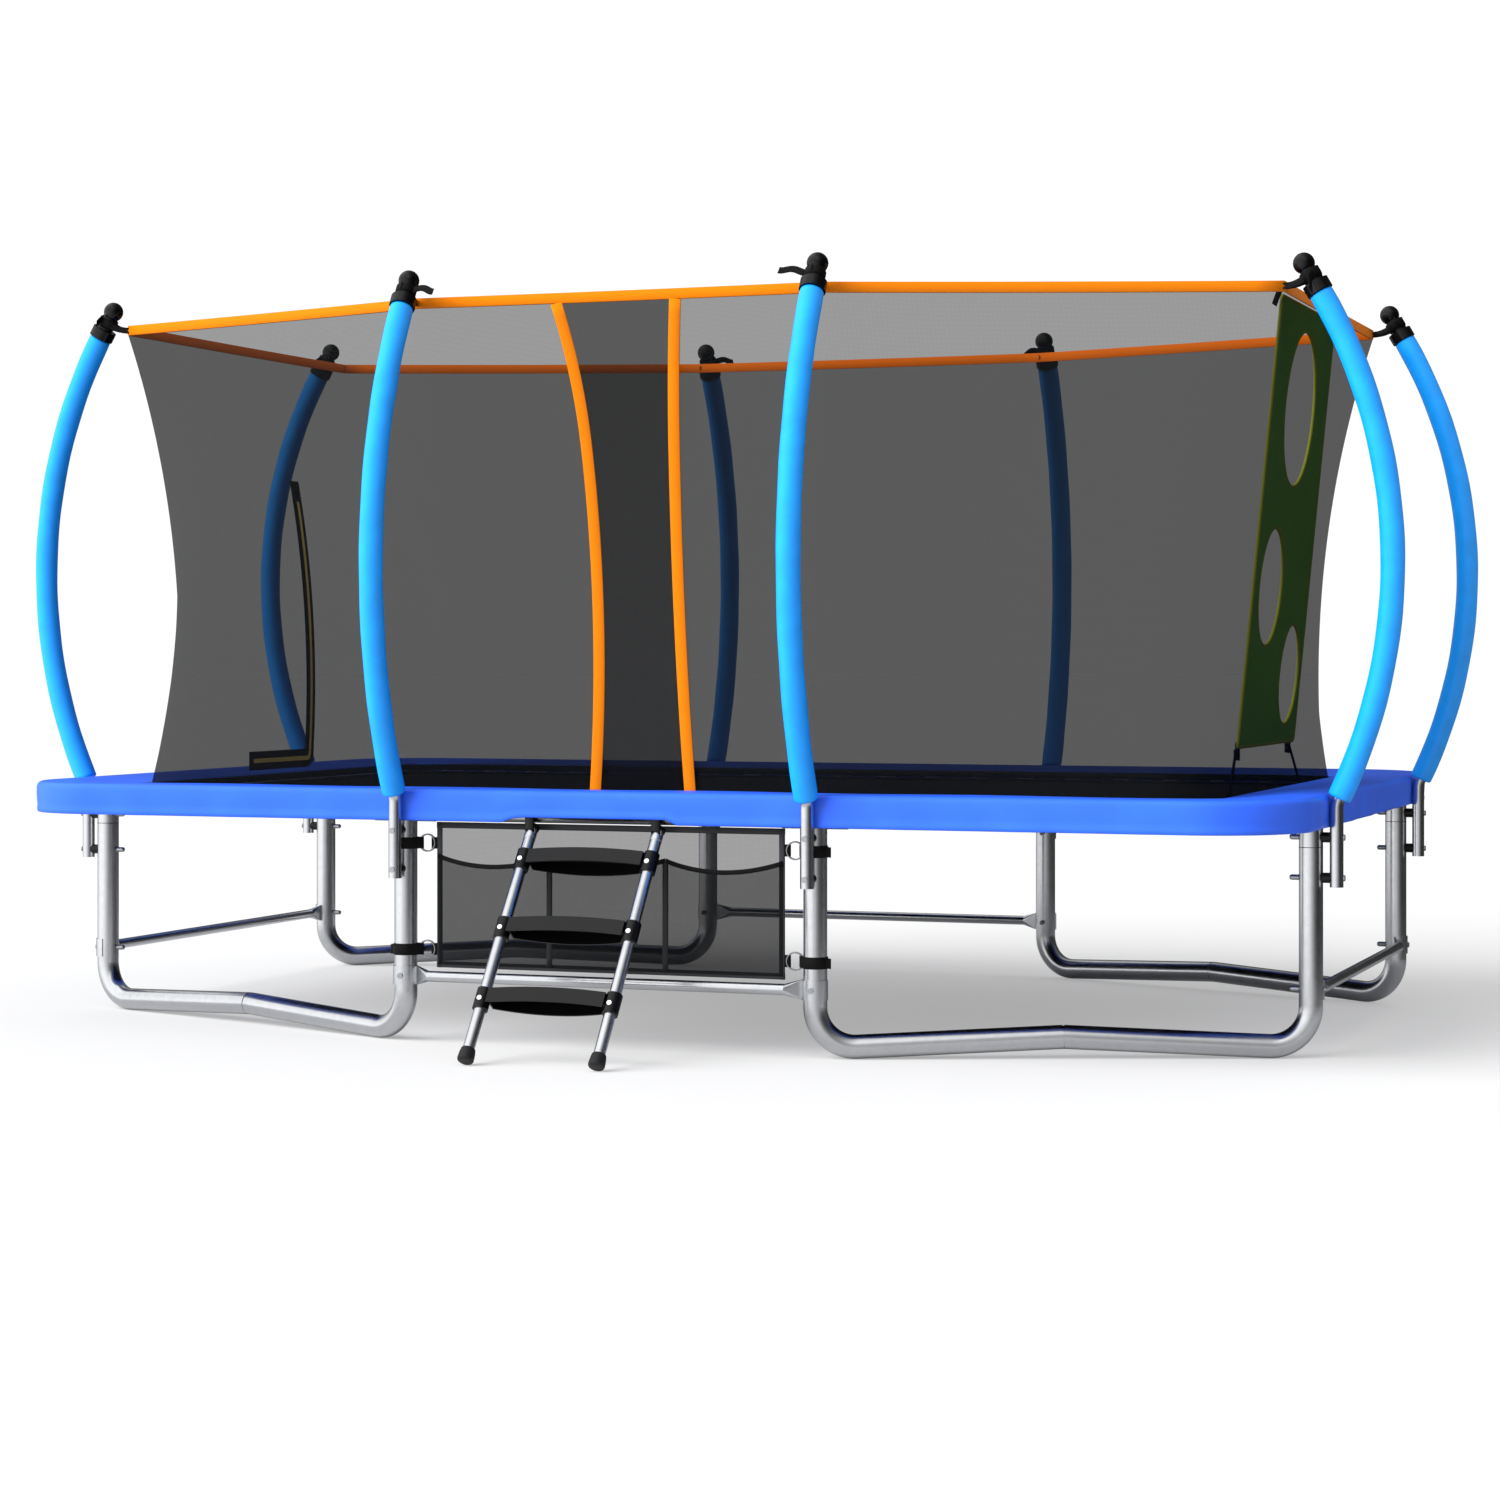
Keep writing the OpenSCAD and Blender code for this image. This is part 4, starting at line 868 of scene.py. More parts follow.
@dataclass(frozen=True)
class LadderEnds:
    """What the ladder's rails end in: hooks over the frame rail above and rubber boots below."""

    middle_x: float = -0.024
    half_width: float = 0.174
    lean: float = math.radians(36.5)
    foot_y: float = -1.5405
    top: tuple[float, float] = (-1.1239, 0.5630)
    tube: float = 0.015
    rail: tuple[float, float] = (-1.110, 0.605)
    rail_radius: float = 0.0334
    blade: tuple[float, float] = (0.026, 0.0062)
    shank: float = 0.050
    sole: float = 0.0115
    sides: int = 32

    def turned(self, profile: Array, start: Array) -> Shape:
        """A turned body on a rail: rings square to it.

        Args:
            profile: (height along the rail, radius) of each ring.
            start: where the height is 0.

        Returns:
            A closed surface.
        """
        up = np.array([0, math.sin(self.lean), math.cos(self.lean)])
        front = np.array([0, -math.cos(self.lean), math.sin(self.lean)])
        rings = profile[:, 1, None, None] * circle(1.0, self.sides)
        return carried(start + profile[:, :1] * up, X, front, rings).flipped()

    def boot(self, x: float) -> Shape:
        """A short flared boot with a rolled rim and a rounded sole, which stands on its heel.

        Args:
            x: the rail's place.

        Returns:
            A closed surface, flat on the ground.
        """
        edge = arc(0.007, -90, 0, 7)[:, ::-1] + [0.007, 0.0140]
        side = np.array([[0.014, 0.0208], [0.024, 0.0200], [0.030, 0.0190], [0.0345, 0.0182],
                         [0.0362, 0.0172], [0.0364, self.tube + 0.0004]])
        profile = np.concatenate([[[0, 0.0010], [0, 0.0080]], edge, side]) + [self.sole, 0]
        made = self.turned(profile, np.array([x, self.foot_y, 0]))
        made.points[:, 2] = np.maximum(made.points[:, 2], 0)
        return made

    def ferrule(self, x: float) -> Shape:
        """The rail's steel end, a little wider than the rail."""
        r = self.tube + 0.0007
        profile = np.array([[-0.036, r - 0.0006], [-0.035, r], [-0.006, r], [-0.005, r - 0.0006]])
        return self.turned(profile, np.array([x, *self.top]))

    def hook(self, x: float) -> Shape:
        """A cap on the rail's end with a blade that goes up, over the frame rail and down behind it.

        Args:
            x: the rail's place.

        Returns:
            Cap and blade.
        """
        cap = np.array([[-0.006, 0.0168], [-0.0052, 0.0180], [0.004, 0.0180], [0.0058, 0.0165],
                        [0.0062, 0.012]])
        over = arc(self.rail_radius, -12, 180, 30)
        down = stacked(-self.rail_radius, -np.linspace(0, self.shank, 6)[1:])
        bent = np.concatenate([over, down]) + self.rail
        path = stacked(x, bent[:, 0], bent[:, 1])
        blade = carried(path, X, unit(np.cross(X, tangents(path))), band_profile(*self.blade))
        return joined([self.turned(cap, np.array([x, *self.top])), blade])

    def build(self, finish: Materials) -> None:
        """Boots, ferrules and hooks on both rails.

        Args:
            finish: every material by its name in the palette.
        """
        rails = [self.middle_x - self.half_width, self.middle_x + self.half_width]
        for name, form, key, slot, node in (
                ("rubber_boots", self.boot, "rubber", "boot_rubber", "ladder_boots"),
                ("rail_ferrules", self.ferrule, "leg_steel", "ladder_steel", "ladder_hooks"),
                ("rail_hooks", self.hook, "plastic", "tread_plastic", "ladder_hooks")):
            piece(name, joined([form(x) for x in rails]), finish[key], (node,), Body.LADDER)


@dataclass(frozen=True)
class PoleSleeves:
    """Foam sleeves round the curved poles: tubes with a hemmed end at the pad and at the cap."""

    legs: Legs = Legs()
    centre_out: float = -1.160
    centre_z: float = 1.2375
    curve: float = 1.363
    low: float = -25.5
    high: float = 29.66
    radius: float = 0.0305
    pole: float = 0.0173
    sides: int = 40
    nodes: tuple[str, ...] = ("foam_left", "foam_front", "foam_front", "foam_right",
                              "foam_right", "foam_back", "foam_back", "foam_left")

    def local(self) -> Shape:
        """One sleeve in its leg's plane: a circle along an arc, rolled in at both ends.

        The radius waves by 0.4 mm along the sleeve, and a seam runs down its outer side.

        Returns:
            A closed surface.
        """
        hem = np.array([0, 0, 0.0015, 0.005, 0.012])
        roll = np.array([self.pole, 0.026, 0.029, 0.0302, self.radius])
        low, high = math.radians(self.low), math.radians(self.high)
        length = self.curve * (high - low)
        middle = np.linspace(0.03, length - 0.03, 90)
        along = np.concatenate([hem, middle, length - hem[::-1]])
        radius = np.concatenate([roll, self.radius + 0.0004 * np.sin(middle * 31), roll[::-1]])
        a = low + along / self.curve
        out = stacked(np.cos(a), 0, np.sin(a))
        path = np.array([self.centre_out, 0, self.centre_z]) + self.curve * out
        seam = 1 - 0.03 * np.exp(-((np.arange(self.sides) - self.sides / 2) / 1.2) ** 2)
        rings = radius[:, None, None] * circle(1.0, self.sides) * seam[:, None]
        return carried(path, out, Y, rings).flipped()

    def build(self, finish: Materials) -> None:
        """A sleeve on each of the eight poles.

        Args:
            finish: every material by its name in the palette.
        """
        one = self.local()
        for number, ((place, angle), node) in enumerate(zip(self.legs.stations(), self.nodes), 1):
            made = piece(f"foam_sleeve_{number}", one.moved(self.legs.turn(angle), place),
                         finish["foam"], (node,))


# ------------------------------------------------------------------ the bed


@dataclass(frozen=True)
class Bed:
    """The woven mat with its thick sewn edge and the hem that the V-rings are sewn under."""

    mat_x: float = 1.525
    mat_y: float = 0.912
    corner: float = 0.060
    top: float = 0.621
    thick: float = 0.003
    step: float = 0.0012
    edge: float = 0.967
    sag: float = 0.004
    hem: tuple[float, float] = (0.040, 0.005)
    counts: tuple[int, int] = (10, 6)
    rail_middle: tuple[float, float] = (1.508, 0.895)
    rail_corner: float = 0.215

    def mat(self) -> Shape:
        """Rings of a shrinking rounded rectangle, from the middle out, over the edge and back below.

        The middle sags, and inside the sewn edge the face lies a step lower and the mat is half as thick.

        Returns:
            A closed surface.
        """
        shares = np.concatenate([np.linspace(0.04, 0.96, 14), [0.9665, 0.968, 0.998, 1.0]])
        outline, _ = rounded_rectangle(self.mat_x, self.mat_y, self.corner, 0.06)
        sewn = shares >= self.edge
        height = self.top - np.where(sewn, 0.0, self.step) - self.sag * (1 - shares ** 2)
        top = lifted(shares[:, None, None] * outline, height[:, None])
        low = top[::-1].copy()
        low[..., 2] -= np.where(sewn[::-1], 2 * self.thick, self.thick - self.step)[:, None]
        middle = np.array([[0, 0, self.top - self.sag], [0, 0, self.top - self.sag - self.thick]])
        return capped(np.concatenate([top, low]), middle).flipped()

    def ring_places(self) -> tuple[Array, Array]:
        """Where the V-rings sit: at an even pitch on each side, and one across each corner.

        Returns:
            The place and the outward direction of every ring, n x 2 each.
        """
        middle = np.array(self.rail_middle)
        places, outs = [], []
        for axis, (half, count) in enumerate(zip(middle, self.counts)):
            spots = np.zeros((count, 2))
            spots[:, axis] = (np.arange(count) + 0.5) * half / count
            spots[:, 1 - axis] = (self.mat_y, self.mat_x)[axis]
            places.append(spots)
            outs.append(np.broadcast_to(np.eye(2)[1 - axis], (count, 2)))
        inner = np.array([self.mat_x, self.mat_y]) - self.corner
        aim = unit(middle + self.rail_corner * math.sqrt(0.5) - inner)
        place = np.concatenate(places + [(inner + self.corner * aim)[None]])
        out = np.concatenate(outs + [aim[None]])
        signs = np.array([[x, y] for x in (1, -1) for y in (1, -1)])[:, None]
        return (place * signs).reshape(-1, 2), (out * signs).reshape(-1, 2)

    def edging(self) -> Shape:
        """The sewn hem round the mat's upper edge, which holds the feet of the V-rings.

        Returns:
            A closed band.
        """
        wide, thick = self.hem
        inset = wide / 2
        outline, normal = rounded_rectangle(
            self.mat_x - inset, self.mat_y - inset, self.corner - inset, 0.03)
        return carried(lifted(outline, self.top + thick / 2), lifted(normal), Z,
                       band_profile(wide, thick), loop=True)

    def build(self, finish: Materials) -> None:
        """The mat and its hem on the bed."""
        piece("woven_mat", self.mat(), finish["mat"], ("jumping_mat",), Body.BED)
        piece("mat_hem", self.edging(), finish["webbing"], (), Body.BED)


@dataclass(frozen=True)
class Springs:
    """Extension springs: a close coil between two hooks, from a V-ring to the rail."""

    bed: Bed = Bed()
    wire: float = 0.0018
    coil: float = 0.0082
    turns: int = 17
    height: float = 0.620
    hook_z: float = 0.627
    gap: float = 0.198
    corner_gap: float = 0.2496
    ring: float = 0.021
    rail: float = 0.0205
    bend: float = 0.030

    def one(self, gap: float) -> Array:
        """The centre line of one spring along +X: hook, helix, hook.

        Args:
            gap: distance from the mat's edge to the rail's middle.

        Returns:
            Its points.
        """
        end = gap - self.rail + 0.006
        a = np.linspace(0, self.turns * TAU, self.turns * 7)
        along = np.linspace(self.ring + 0.018, end - 0.020, len(a))
        helix = stacked(along, self.coil * np.sin(a), self.height + self.coil * np.cos(a))
        first = np.array([[0, 0, -0.012], [0, 0, -0.003], [0.003, 0, 0], [0.010, 0, 0]])
        last = np.array([[-0.010, 0, 0], [0.006, 0, 0], [0.012, 0, -0.003], [0.012, 0, -0.008]])
        return np.concatenate([first + [self.ring, 0, self.hook_z], helix, last + [end, 0, self.hook_z]])

    def build(self, finish: Materials) -> None:
        """The springs, one piece for each way they pull.

        Args:
            finish: every material by its name in the palette.
        """
        place, out = self.bed.ring_places()
        ways, group = np.unique(out.round(6), axis=0, return_inverse=True)
        for k, (dx, dy) in enumerate(ways):
            gap = self.corner_gap if min(abs(dx), abs(dy)) > 0.1 else self.gap
            bar = tube(self.one(gap), self.wire, 5, np.array([0.02, 1.0, 0.03]))
            turn = np.array([[dx, -dy, 0], [dy, dx, 0], [0, 0, 1]])
            spots = place[group.ravel() == k]
            row = joined([bar.moved(turn, np.array([x, y, 0])) for x, y in spots])
            made = piece(f"coil_springs_{k + 1}", row, finish["spring"], ("springs",), None)
            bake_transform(made)


@dataclass(frozen=True)
class SafetyPad:
    """The foam pad over the springs: a crowned top, a rounded shoulder and a hanging skirt."""

    outer_x: float = 1.769
    outer_y: float = 1.156
    corner: float = 0.261
    top: float = 0.660
    inner_top: float = 0.651
    width: float = 0.250
    shoulder: float = 0.016
    nose: float = 0.008
    crown: float = 0.0022
    skirt: float = 0.577
    hem: float = 0.015
    lift: float = 0.013
    ladder_x: float = -0.024
    ladder_half: float = 0.222
    under: float = 0.638
    quilt: float = 0.0009

    def section(self) -> Array:
        """Inset and height round the pad: up the skirt, over the crown, and back under the foam.

        Returns:
            Its points, closed.
        """
        skirt = np.array([[0.0, 0.002], [-0.0006, 0.012], [0.0008, self.hem], [0.0, 0.03], [-0.0008, 0.05]])
        shoulder = arc(self.shoulder, 180, 95, 7) + [self.shoulder, self.top - self.shoulder]
        inset = np.linspace(0.03, self.width - 0.014, 12)
        fall = (self.top - self.inner_top) * eased((inset - 0.06) / (self.width - 0.08))
        swell = self.crown * np.sin((inset - 0.03) / (self.width - 0.044) * math.pi)
        nose = arc(self.nose, 80, -80, 6) + [self.width - self.nose, self.inner_top - 0.009]
        below = np.array([
            [self.width - 0.02, self.inner_top - 0.019], [0.10, self.under], [0.012, self.under],
            [0.004, self.under - 0.008], [0.0035, 0.612], [0.0035, self.skirt + 0.004], [0.002, self.skirt]])
        return np.concatenate([
            skirt + [0, self.skirt], shoulder, stacked(inset, self.top - fall + swell), nose, below])

    def cover(self) -> Shape:
        """The section carried round the outline; the skirt ripples a little and lifts over the ladder.

        Returns:
            A closed surface.
        """
        outline, normal = rounded_rectangle(self.outer_x, self.outer_y, self.corner, 0.03)
        inset, height = self.section().T[:, None]
        steps = np.diff(outline, axis=0, prepend=outline[-1:])
        around = np.linalg.norm(steps, axis=1).cumsum()[:, None]
        hang = eased((self.top - 0.01 - height) / 0.07) * (inset < 0.02)
        ripple = hang * (0.0012 * np.sin(around * 23) + 0.0009 * np.sin(around * 41 + 1.3))
        x, y = outline.T[..., None]
        near = eased((self.ladder_half - np.abs(x - self.ladder_x)) / 0.025 + 0.5) * (y < -1)
        height = height + near * hang * self.lift
        quilt = self.quilt * np.sin(around * 9) * np.sin(np.clip((inset - 0.03) / 0.2, 0, 1) * math.pi)
        height = height + quilt * (height > self.under + 0.004)
        flat = outline[:, None] - (inset + ripple)[..., None] * normal[:, None]
        return surface(lifted(flat, height), wrap_rows=True, wrap_cols=True)

    def build(self, finish: Materials) -> None:
        """The pad's cover."""
        made = piece("pad_cover", self.cover(), finish["pad"], ("safety_pad",))


# ------------------------------------------------------------------ the enclosure


@dataclass(frozen=True)
class NetShape:
    """The net's form: straight lines from its foot round the mat to the octagon of the top band.

    A point is lerp(low, high, t), drawn in towards the middle by waist * 4 t (1 - t).
    """

    foot_x: float = 1.515
    foot_y: float = 0.902
    corner: float = 0.150
    end: tuple[float, float] = (1.657, 0.670)
    side: tuple[float, float] = (0.565, 1.044)
    low_z: float = 0.628
    high_z: float = 1.917
    waist: float = 0.04
    board_hold: float = -0.35
    rows: int = 41

    def heights(self) -> Array:
        """The height shares of every grid's rows."""
        return np.linspace(0, 1, self.rows)

    def z(self, t: Array) -> Array:
        """Height at height share t."""
        return self.low_z + (self.high_z - self.low_z) * t

    def narrowing(self, t: Array, bow: Array | float = 1.0) -> Array:
        """What the distance from the middle is multiplied by at height share t."""
        return 1 - self.waist * 4 * t * (1 - t) * bow

    def drawn(self, low: Array, high: Array, t: Array, bow: Array) -> Array:
        """Points between a low and a high outline.

        Args:
            low: the outline of the foot, rows x columns x 2.
            high: the outline of the top band.
            t: height share of each point.
            bow: how much of the drawing-in each point takes.

        Returns:
            A grid of points.
        """
        flat = (low + (high - low) * t[..., None]) * self.narrowing(t, bow)[..., None]
        return lifted(flat, self.z(t))

    def corner_low(self, s: Array) -> Array:
        """The foot's outline round the back right corner.

        Args:
            s: share of the way from the end panel at 0 to the side panel at 1.

        Returns:
            Points of the plan.
        """
        r = self.corner
        a = self.foot_y - r - self.end[1]
        b = self.foot_x - r - self.side[0]
        quarter = r * math.pi / 2
        d = s * (a + quarter + b)
        turn = np.clip((d - a) / r, 0, math.pi / 2)
        x = self.foot_x - r + r * np.cos(turn) - np.maximum(0, d - a - quarter)
        return stacked(x, self.end[1] + np.minimum(a, d) + r * np.sin(turn))

    def corner_panel(self, mirror_x: int, mirror_y: int, held: bool) -> Array:
        """A corner panel.

        Args:
            mirror_x: 1 on the right, -1 on the left.
            mirror_y: 1 at the back, -1 at the front.
            held: whether the target board holds it out beside the end wall.

        Returns:
            Its grid.
        """
        s, t = np.meshgrid(np.linspace(0, 1, 49), self.heights())
        end, side = np.array(self.end), np.array(self.side)
        hold = self.board_hold if held else 1.0
        bow = hold + (1 - hold) * eased(1.6 * s)
        grid = self.drawn(self.corner_low(s), end + (side - end) * s[..., None], t, bow)
        return grid * [mirror_x, mirror_y, 1]

    def end_panel(self, mirror_x: int, held: bool) -> Array:
        """The wall on a short side.

        Args:
            mirror_x: 1 on the right, -1 on the left.
            held: whether the target board holds its front half out.

        Returns:
            Its grid.
        """
        s, t = np.meshgrid(np.linspace(-1, 1, 41), self.heights())
        y = self.end[1] * s
        hold = self.board_hold if held else 1.0
        bow = hold + (1 - hold) * np.clip((s - 0.12) / 0.88, 0, 1)
        return self.drawn(stacked(self.foot_x, y), stacked(self.end[0], y), t, bow) * [mirror_x, 1, 1]

    def side_y(self, t: Array) -> Array:
        """Distance of a long wall from the middle at height share t."""
        return (self.foot_y + (self.side[1] - self.foot_y) * t) * self.narrowing(t)

    def side_panel(self, start: Array, stop: Array, front: bool, inset: float = 0.0) -> Array:
        """A wall on a long side.

        Args:
            start: X of its first edge at each row.
            stop: X of its second edge.
            front: on the front side.
            inset: how far it lies inwards; this fades out to the second edge.

        Returns:
            Its grid.
        """
        s, t = np.meshgrid(np.linspace(0, 1, 25), self.heights())
        x = start[:, None] + (stop - start)[:, None] * s
        y = (self.side_y(t) - inset * eased(4 - 4 * s)) * (-1 if front else 1)
        return stacked(x, y, self.z(t))

    def edge_x(self) -> Array:
        """Where a long wall meets its corner panels, at each row."""
        return self.side[0] * self.narrowing(self.heights())


@dataclass(frozen=True)
class Enclosure:
    """Net walls, their foot's hem, the top band and the doorway strips."""

    shape: NetShape = NetShape()
    door_x: float = 0.013
    door_width: float = 0.300
    strip: float = 0.032
    flare: float = 0.024
    overlap: float = 0.006
    band_height: float = 0.028
    band_thick: float = 0.004
    # painted shade: inset and thickness of the thin sheet that colours the band's inner face as it looks in
    # shade
    painted_shade_face: tuple[float, float] = (0.0026, 0.0010)
    foot_hem: tuple[float, float] = (0.020, 0.0024)

    def door_edges(self) -> tuple[Array, Array]:
        """Middle lines of the two doorway strips: bowed inwards at half height, flared at the top.

        Returns:
            X of the left and of the right strip at each row.
        """
        t = self.shape.heights()
        half = ((0.9 + 0.1 * t) - 0.19 * 4 * t * (1 - t)) * self.door_width / 2
        middle = self.door_x + 0.005 - 0.010 * t
        wider = np.clip((t - 0.72) / 0.28, 0, 1) ** 2
        return middle - half - self.flare * wider, middle + half + self.flare * wider / 4

    def walls(self, finish: Materials) -> None:
        """Nine panels of net; the two front walls overlap behind the doorway.

        Args:
            finish: every material by its name in the palette.
        """
        net, edge = self.shape, self.shape.edge_x()
        left, right = self.door_edges()
        for name, grid, node in (
                ("net_wall_back", net.side_panel(-edge, edge, False), "net_back"),
                ("net_wall_left", net.end_panel(-1, False), "net_left"),
                ("net_wall_right", net.end_panel(1, True), "net_right"),
                ("net_wall_front_left", net.side_panel(-edge, right + self.strip / 2, True),
                 "net_front_left"),
                ("net_wall_front_right",
                 net.side_panel(left - self.strip / 2, edge, True, self.overlap), "net_front_right"),
                ("net_corner_back_left", net.corner_panel(-1, 1, False), "net_corners_left"),
                ("net_corner_front_left", net.corner_panel(-1, -1, False), "net_corners_left"),
                ("net_corner_back_right", net.corner_panel(1, 1, False), "net_corners_right"),
                ("net_corner_front_right", net.corner_panel(1, -1, True), "net_corners_right")):
            cloth(name, grid, finish["net"], node)

    def octagon(self) -> Array:
        """The eight upper corners of the net, counter-clockwise from the right end."""
        (ex, ey), (sx, sy) = self.shape.end, self.shape.side
        return np.array([
            [ex, -ey], [ex, ey], [sx, sy], [-sx, sy], [-ex, ey], [-ex, -ey], [-sx, -sy], [sx, -sy]])

    def band(self, inset: float, thick: float) -> Shape:
        """An upright strip of webbing round the octagon, which droops a little between its corners.

        Args:
            inset: how far it lies inside the octagon.
            thick: its thickness.

        Returns:
            A closed surface.
        """
        corners = self.octagon()
        after = np.roll(corners, -1, 0)
        share = np.linspace(0, 1, 17)[:-1]
        flat = (corners[:, None] + (after - corners)[:, None] * share[None, :, None]).reshape(-1, 2)
        along = tangents(flat, loop=True)
        out = stacked(along[:, 1], -along[:, 0], 0)
        droop = 0.0012 * np.sin(np.tile(share, len(corners)) * math.pi)
        path = lifted(flat, self.shape.high_z + self.band_height / 2 - droop) - inset * out
        return carried(path, Z, out, band_profile(self.band_height, thick), loop=True)

    def foot(self) -> Shape:
        """The black hem along the net's foot, upright on the mat inside the pad's edge.

        Returns:
            A closed band.
        """
        net, (tall, thick) = self.shape, self.foot_hem
        flat, normal = rounded_rectangle(net.foot_x, net.foot_y, net.corner, 0.04)
        return carried(lifted(flat, net.low_z + tall / 2), Z, lifted(normal),
                       band_profile(tall, thick), loop=True)

    def door_strip(self, x: Array) -> Shape:
        """A strip sewn down the doorway, on the outside of the net.

        Args:
            x: its middle at each row.

        Returns:
            A closed band.
        """
        t = self.shape.heights()
        path = stacked(x, -self.shape.side_y(t) - 0.002, self.shape.z(t))
        along = tangents(path)
        across = unit(np.cross(along, -Y))
        return carried(path, across, np.cross(across, along), band_profile(self.strip, 0.002))

    def build(self, finish: Materials) -> None:
        """Walls, hem, band and strips.

        Args:
            finish: every material by its name in the palette.
        """
        self.walls(finish)
        piece("net_foot_hem", self.foot(), finish["webbing"])
        for name, inset, thick, key in (
                ("top_band_webbing", 0.0, self.band_thick, "orange"),
                # the second band is a thin sheet on the inner face, in a redder orange that paints the shade
                # there
                ("top_band_painted_shade_face", *self.painted_shade_face, "painted_shade_face")):
            piece(name, self.band(inset, thick), finish[key], ("top_band",))
        for name, x in zip(("door_strip_left", "door_strip_right"), self.door_edges()):
            piece(name, self.door_strip(x), finish["orange"], ("door_strips",))


@dataclass(frozen=True)
class Zip:
    """The zip on the left wall: its tape, bare at both ends, and its teeth."""

    net: NetShape = NetShape()
    y: float = 0.150
    top: float = 1.541
    low: float = 0.691
    run: float = 0.375
    corner: float = 0.012
    width: float = 0.056
    thick: float = 0.0018
    bare: tuple[float, float] = (0.066, 0.022)
    pitch: float = 0.0042
    tooth: tuple[float, float, float] = (0.0080, 0.0030, 0.0044)
    offset: tuple[float, float] = (0.0022, 0.0009)
    points: int = 40

    def line(self) -> Array:
        """The teeth's line: down at y, round a small corner, then along the foot.

        Returns:
            Points just outside the left wall.
        """
        net = self.net
        bend = arc(self.corner, 0, -90, 5) + [self.y - self.corner, self.low + self.corner]
        down = np.linspace(self.top, self.low + self.corner, self.points)
        along = np.linspace(self.y - self.corner, self.y - self.run, self.points // 2)
        y, z = np.concatenate([stacked(self.y, down), bend, stacked(along, self.low)]).T
        t = (z - net.low_z) / (net.high_z - net.low_z)
        wall = (net.foot_x + (net.end[0] - net.foot_x) * t) * net.narrowing(t)
        return stacked(-wall - 0.0012, y, z)

    def tape(self) -> Shape:
        """The tape: a flat band along the teeth's line."""
        path = self.line()
        return carried(path, unit(np.cross(tangents(path), -X)), -X, band_profile(self.width, self.thick))

    def teeth(self) -> Shape:
        """Two rows of teeth, half a pitch apart, clamped on the tape so that they show on both sides.

        Returns:
            All teeth as one surface.
        """
        path = self.line()
        steps = np.linalg.norm(np.diff(path, axis=0), axis=1)
        far = np.concatenate([[0], np.cumsum(steps)])
        made = []
        for side in (-1, 1):
            start = self.bare[0] + (side > 0) * self.pitch / 2
            at = np.arange(start, far[-1] - self.bare[1], self.pitch)
            centre = stacked(*(np.interp(at, far, path[:, k]) for k in range(3)))
            along = tangents(centre)
            across = unit(np.cross(along, -X))
            spot = centre + side * self.offset[0] * across + self.offset[1] * X
            made.append(boxes(spot, (across, along, -X), np.array(self.tooth)))
        return joined(made)

    def build(self, finish: Materials) -> None:
        """Tape and teeth."""
        piece("zip_tape_black", self.tape(), finish["tape"], ("zip_tape",))
        piece("zip_teeth", self.teeth(), finish["teeth"], smooth=False)


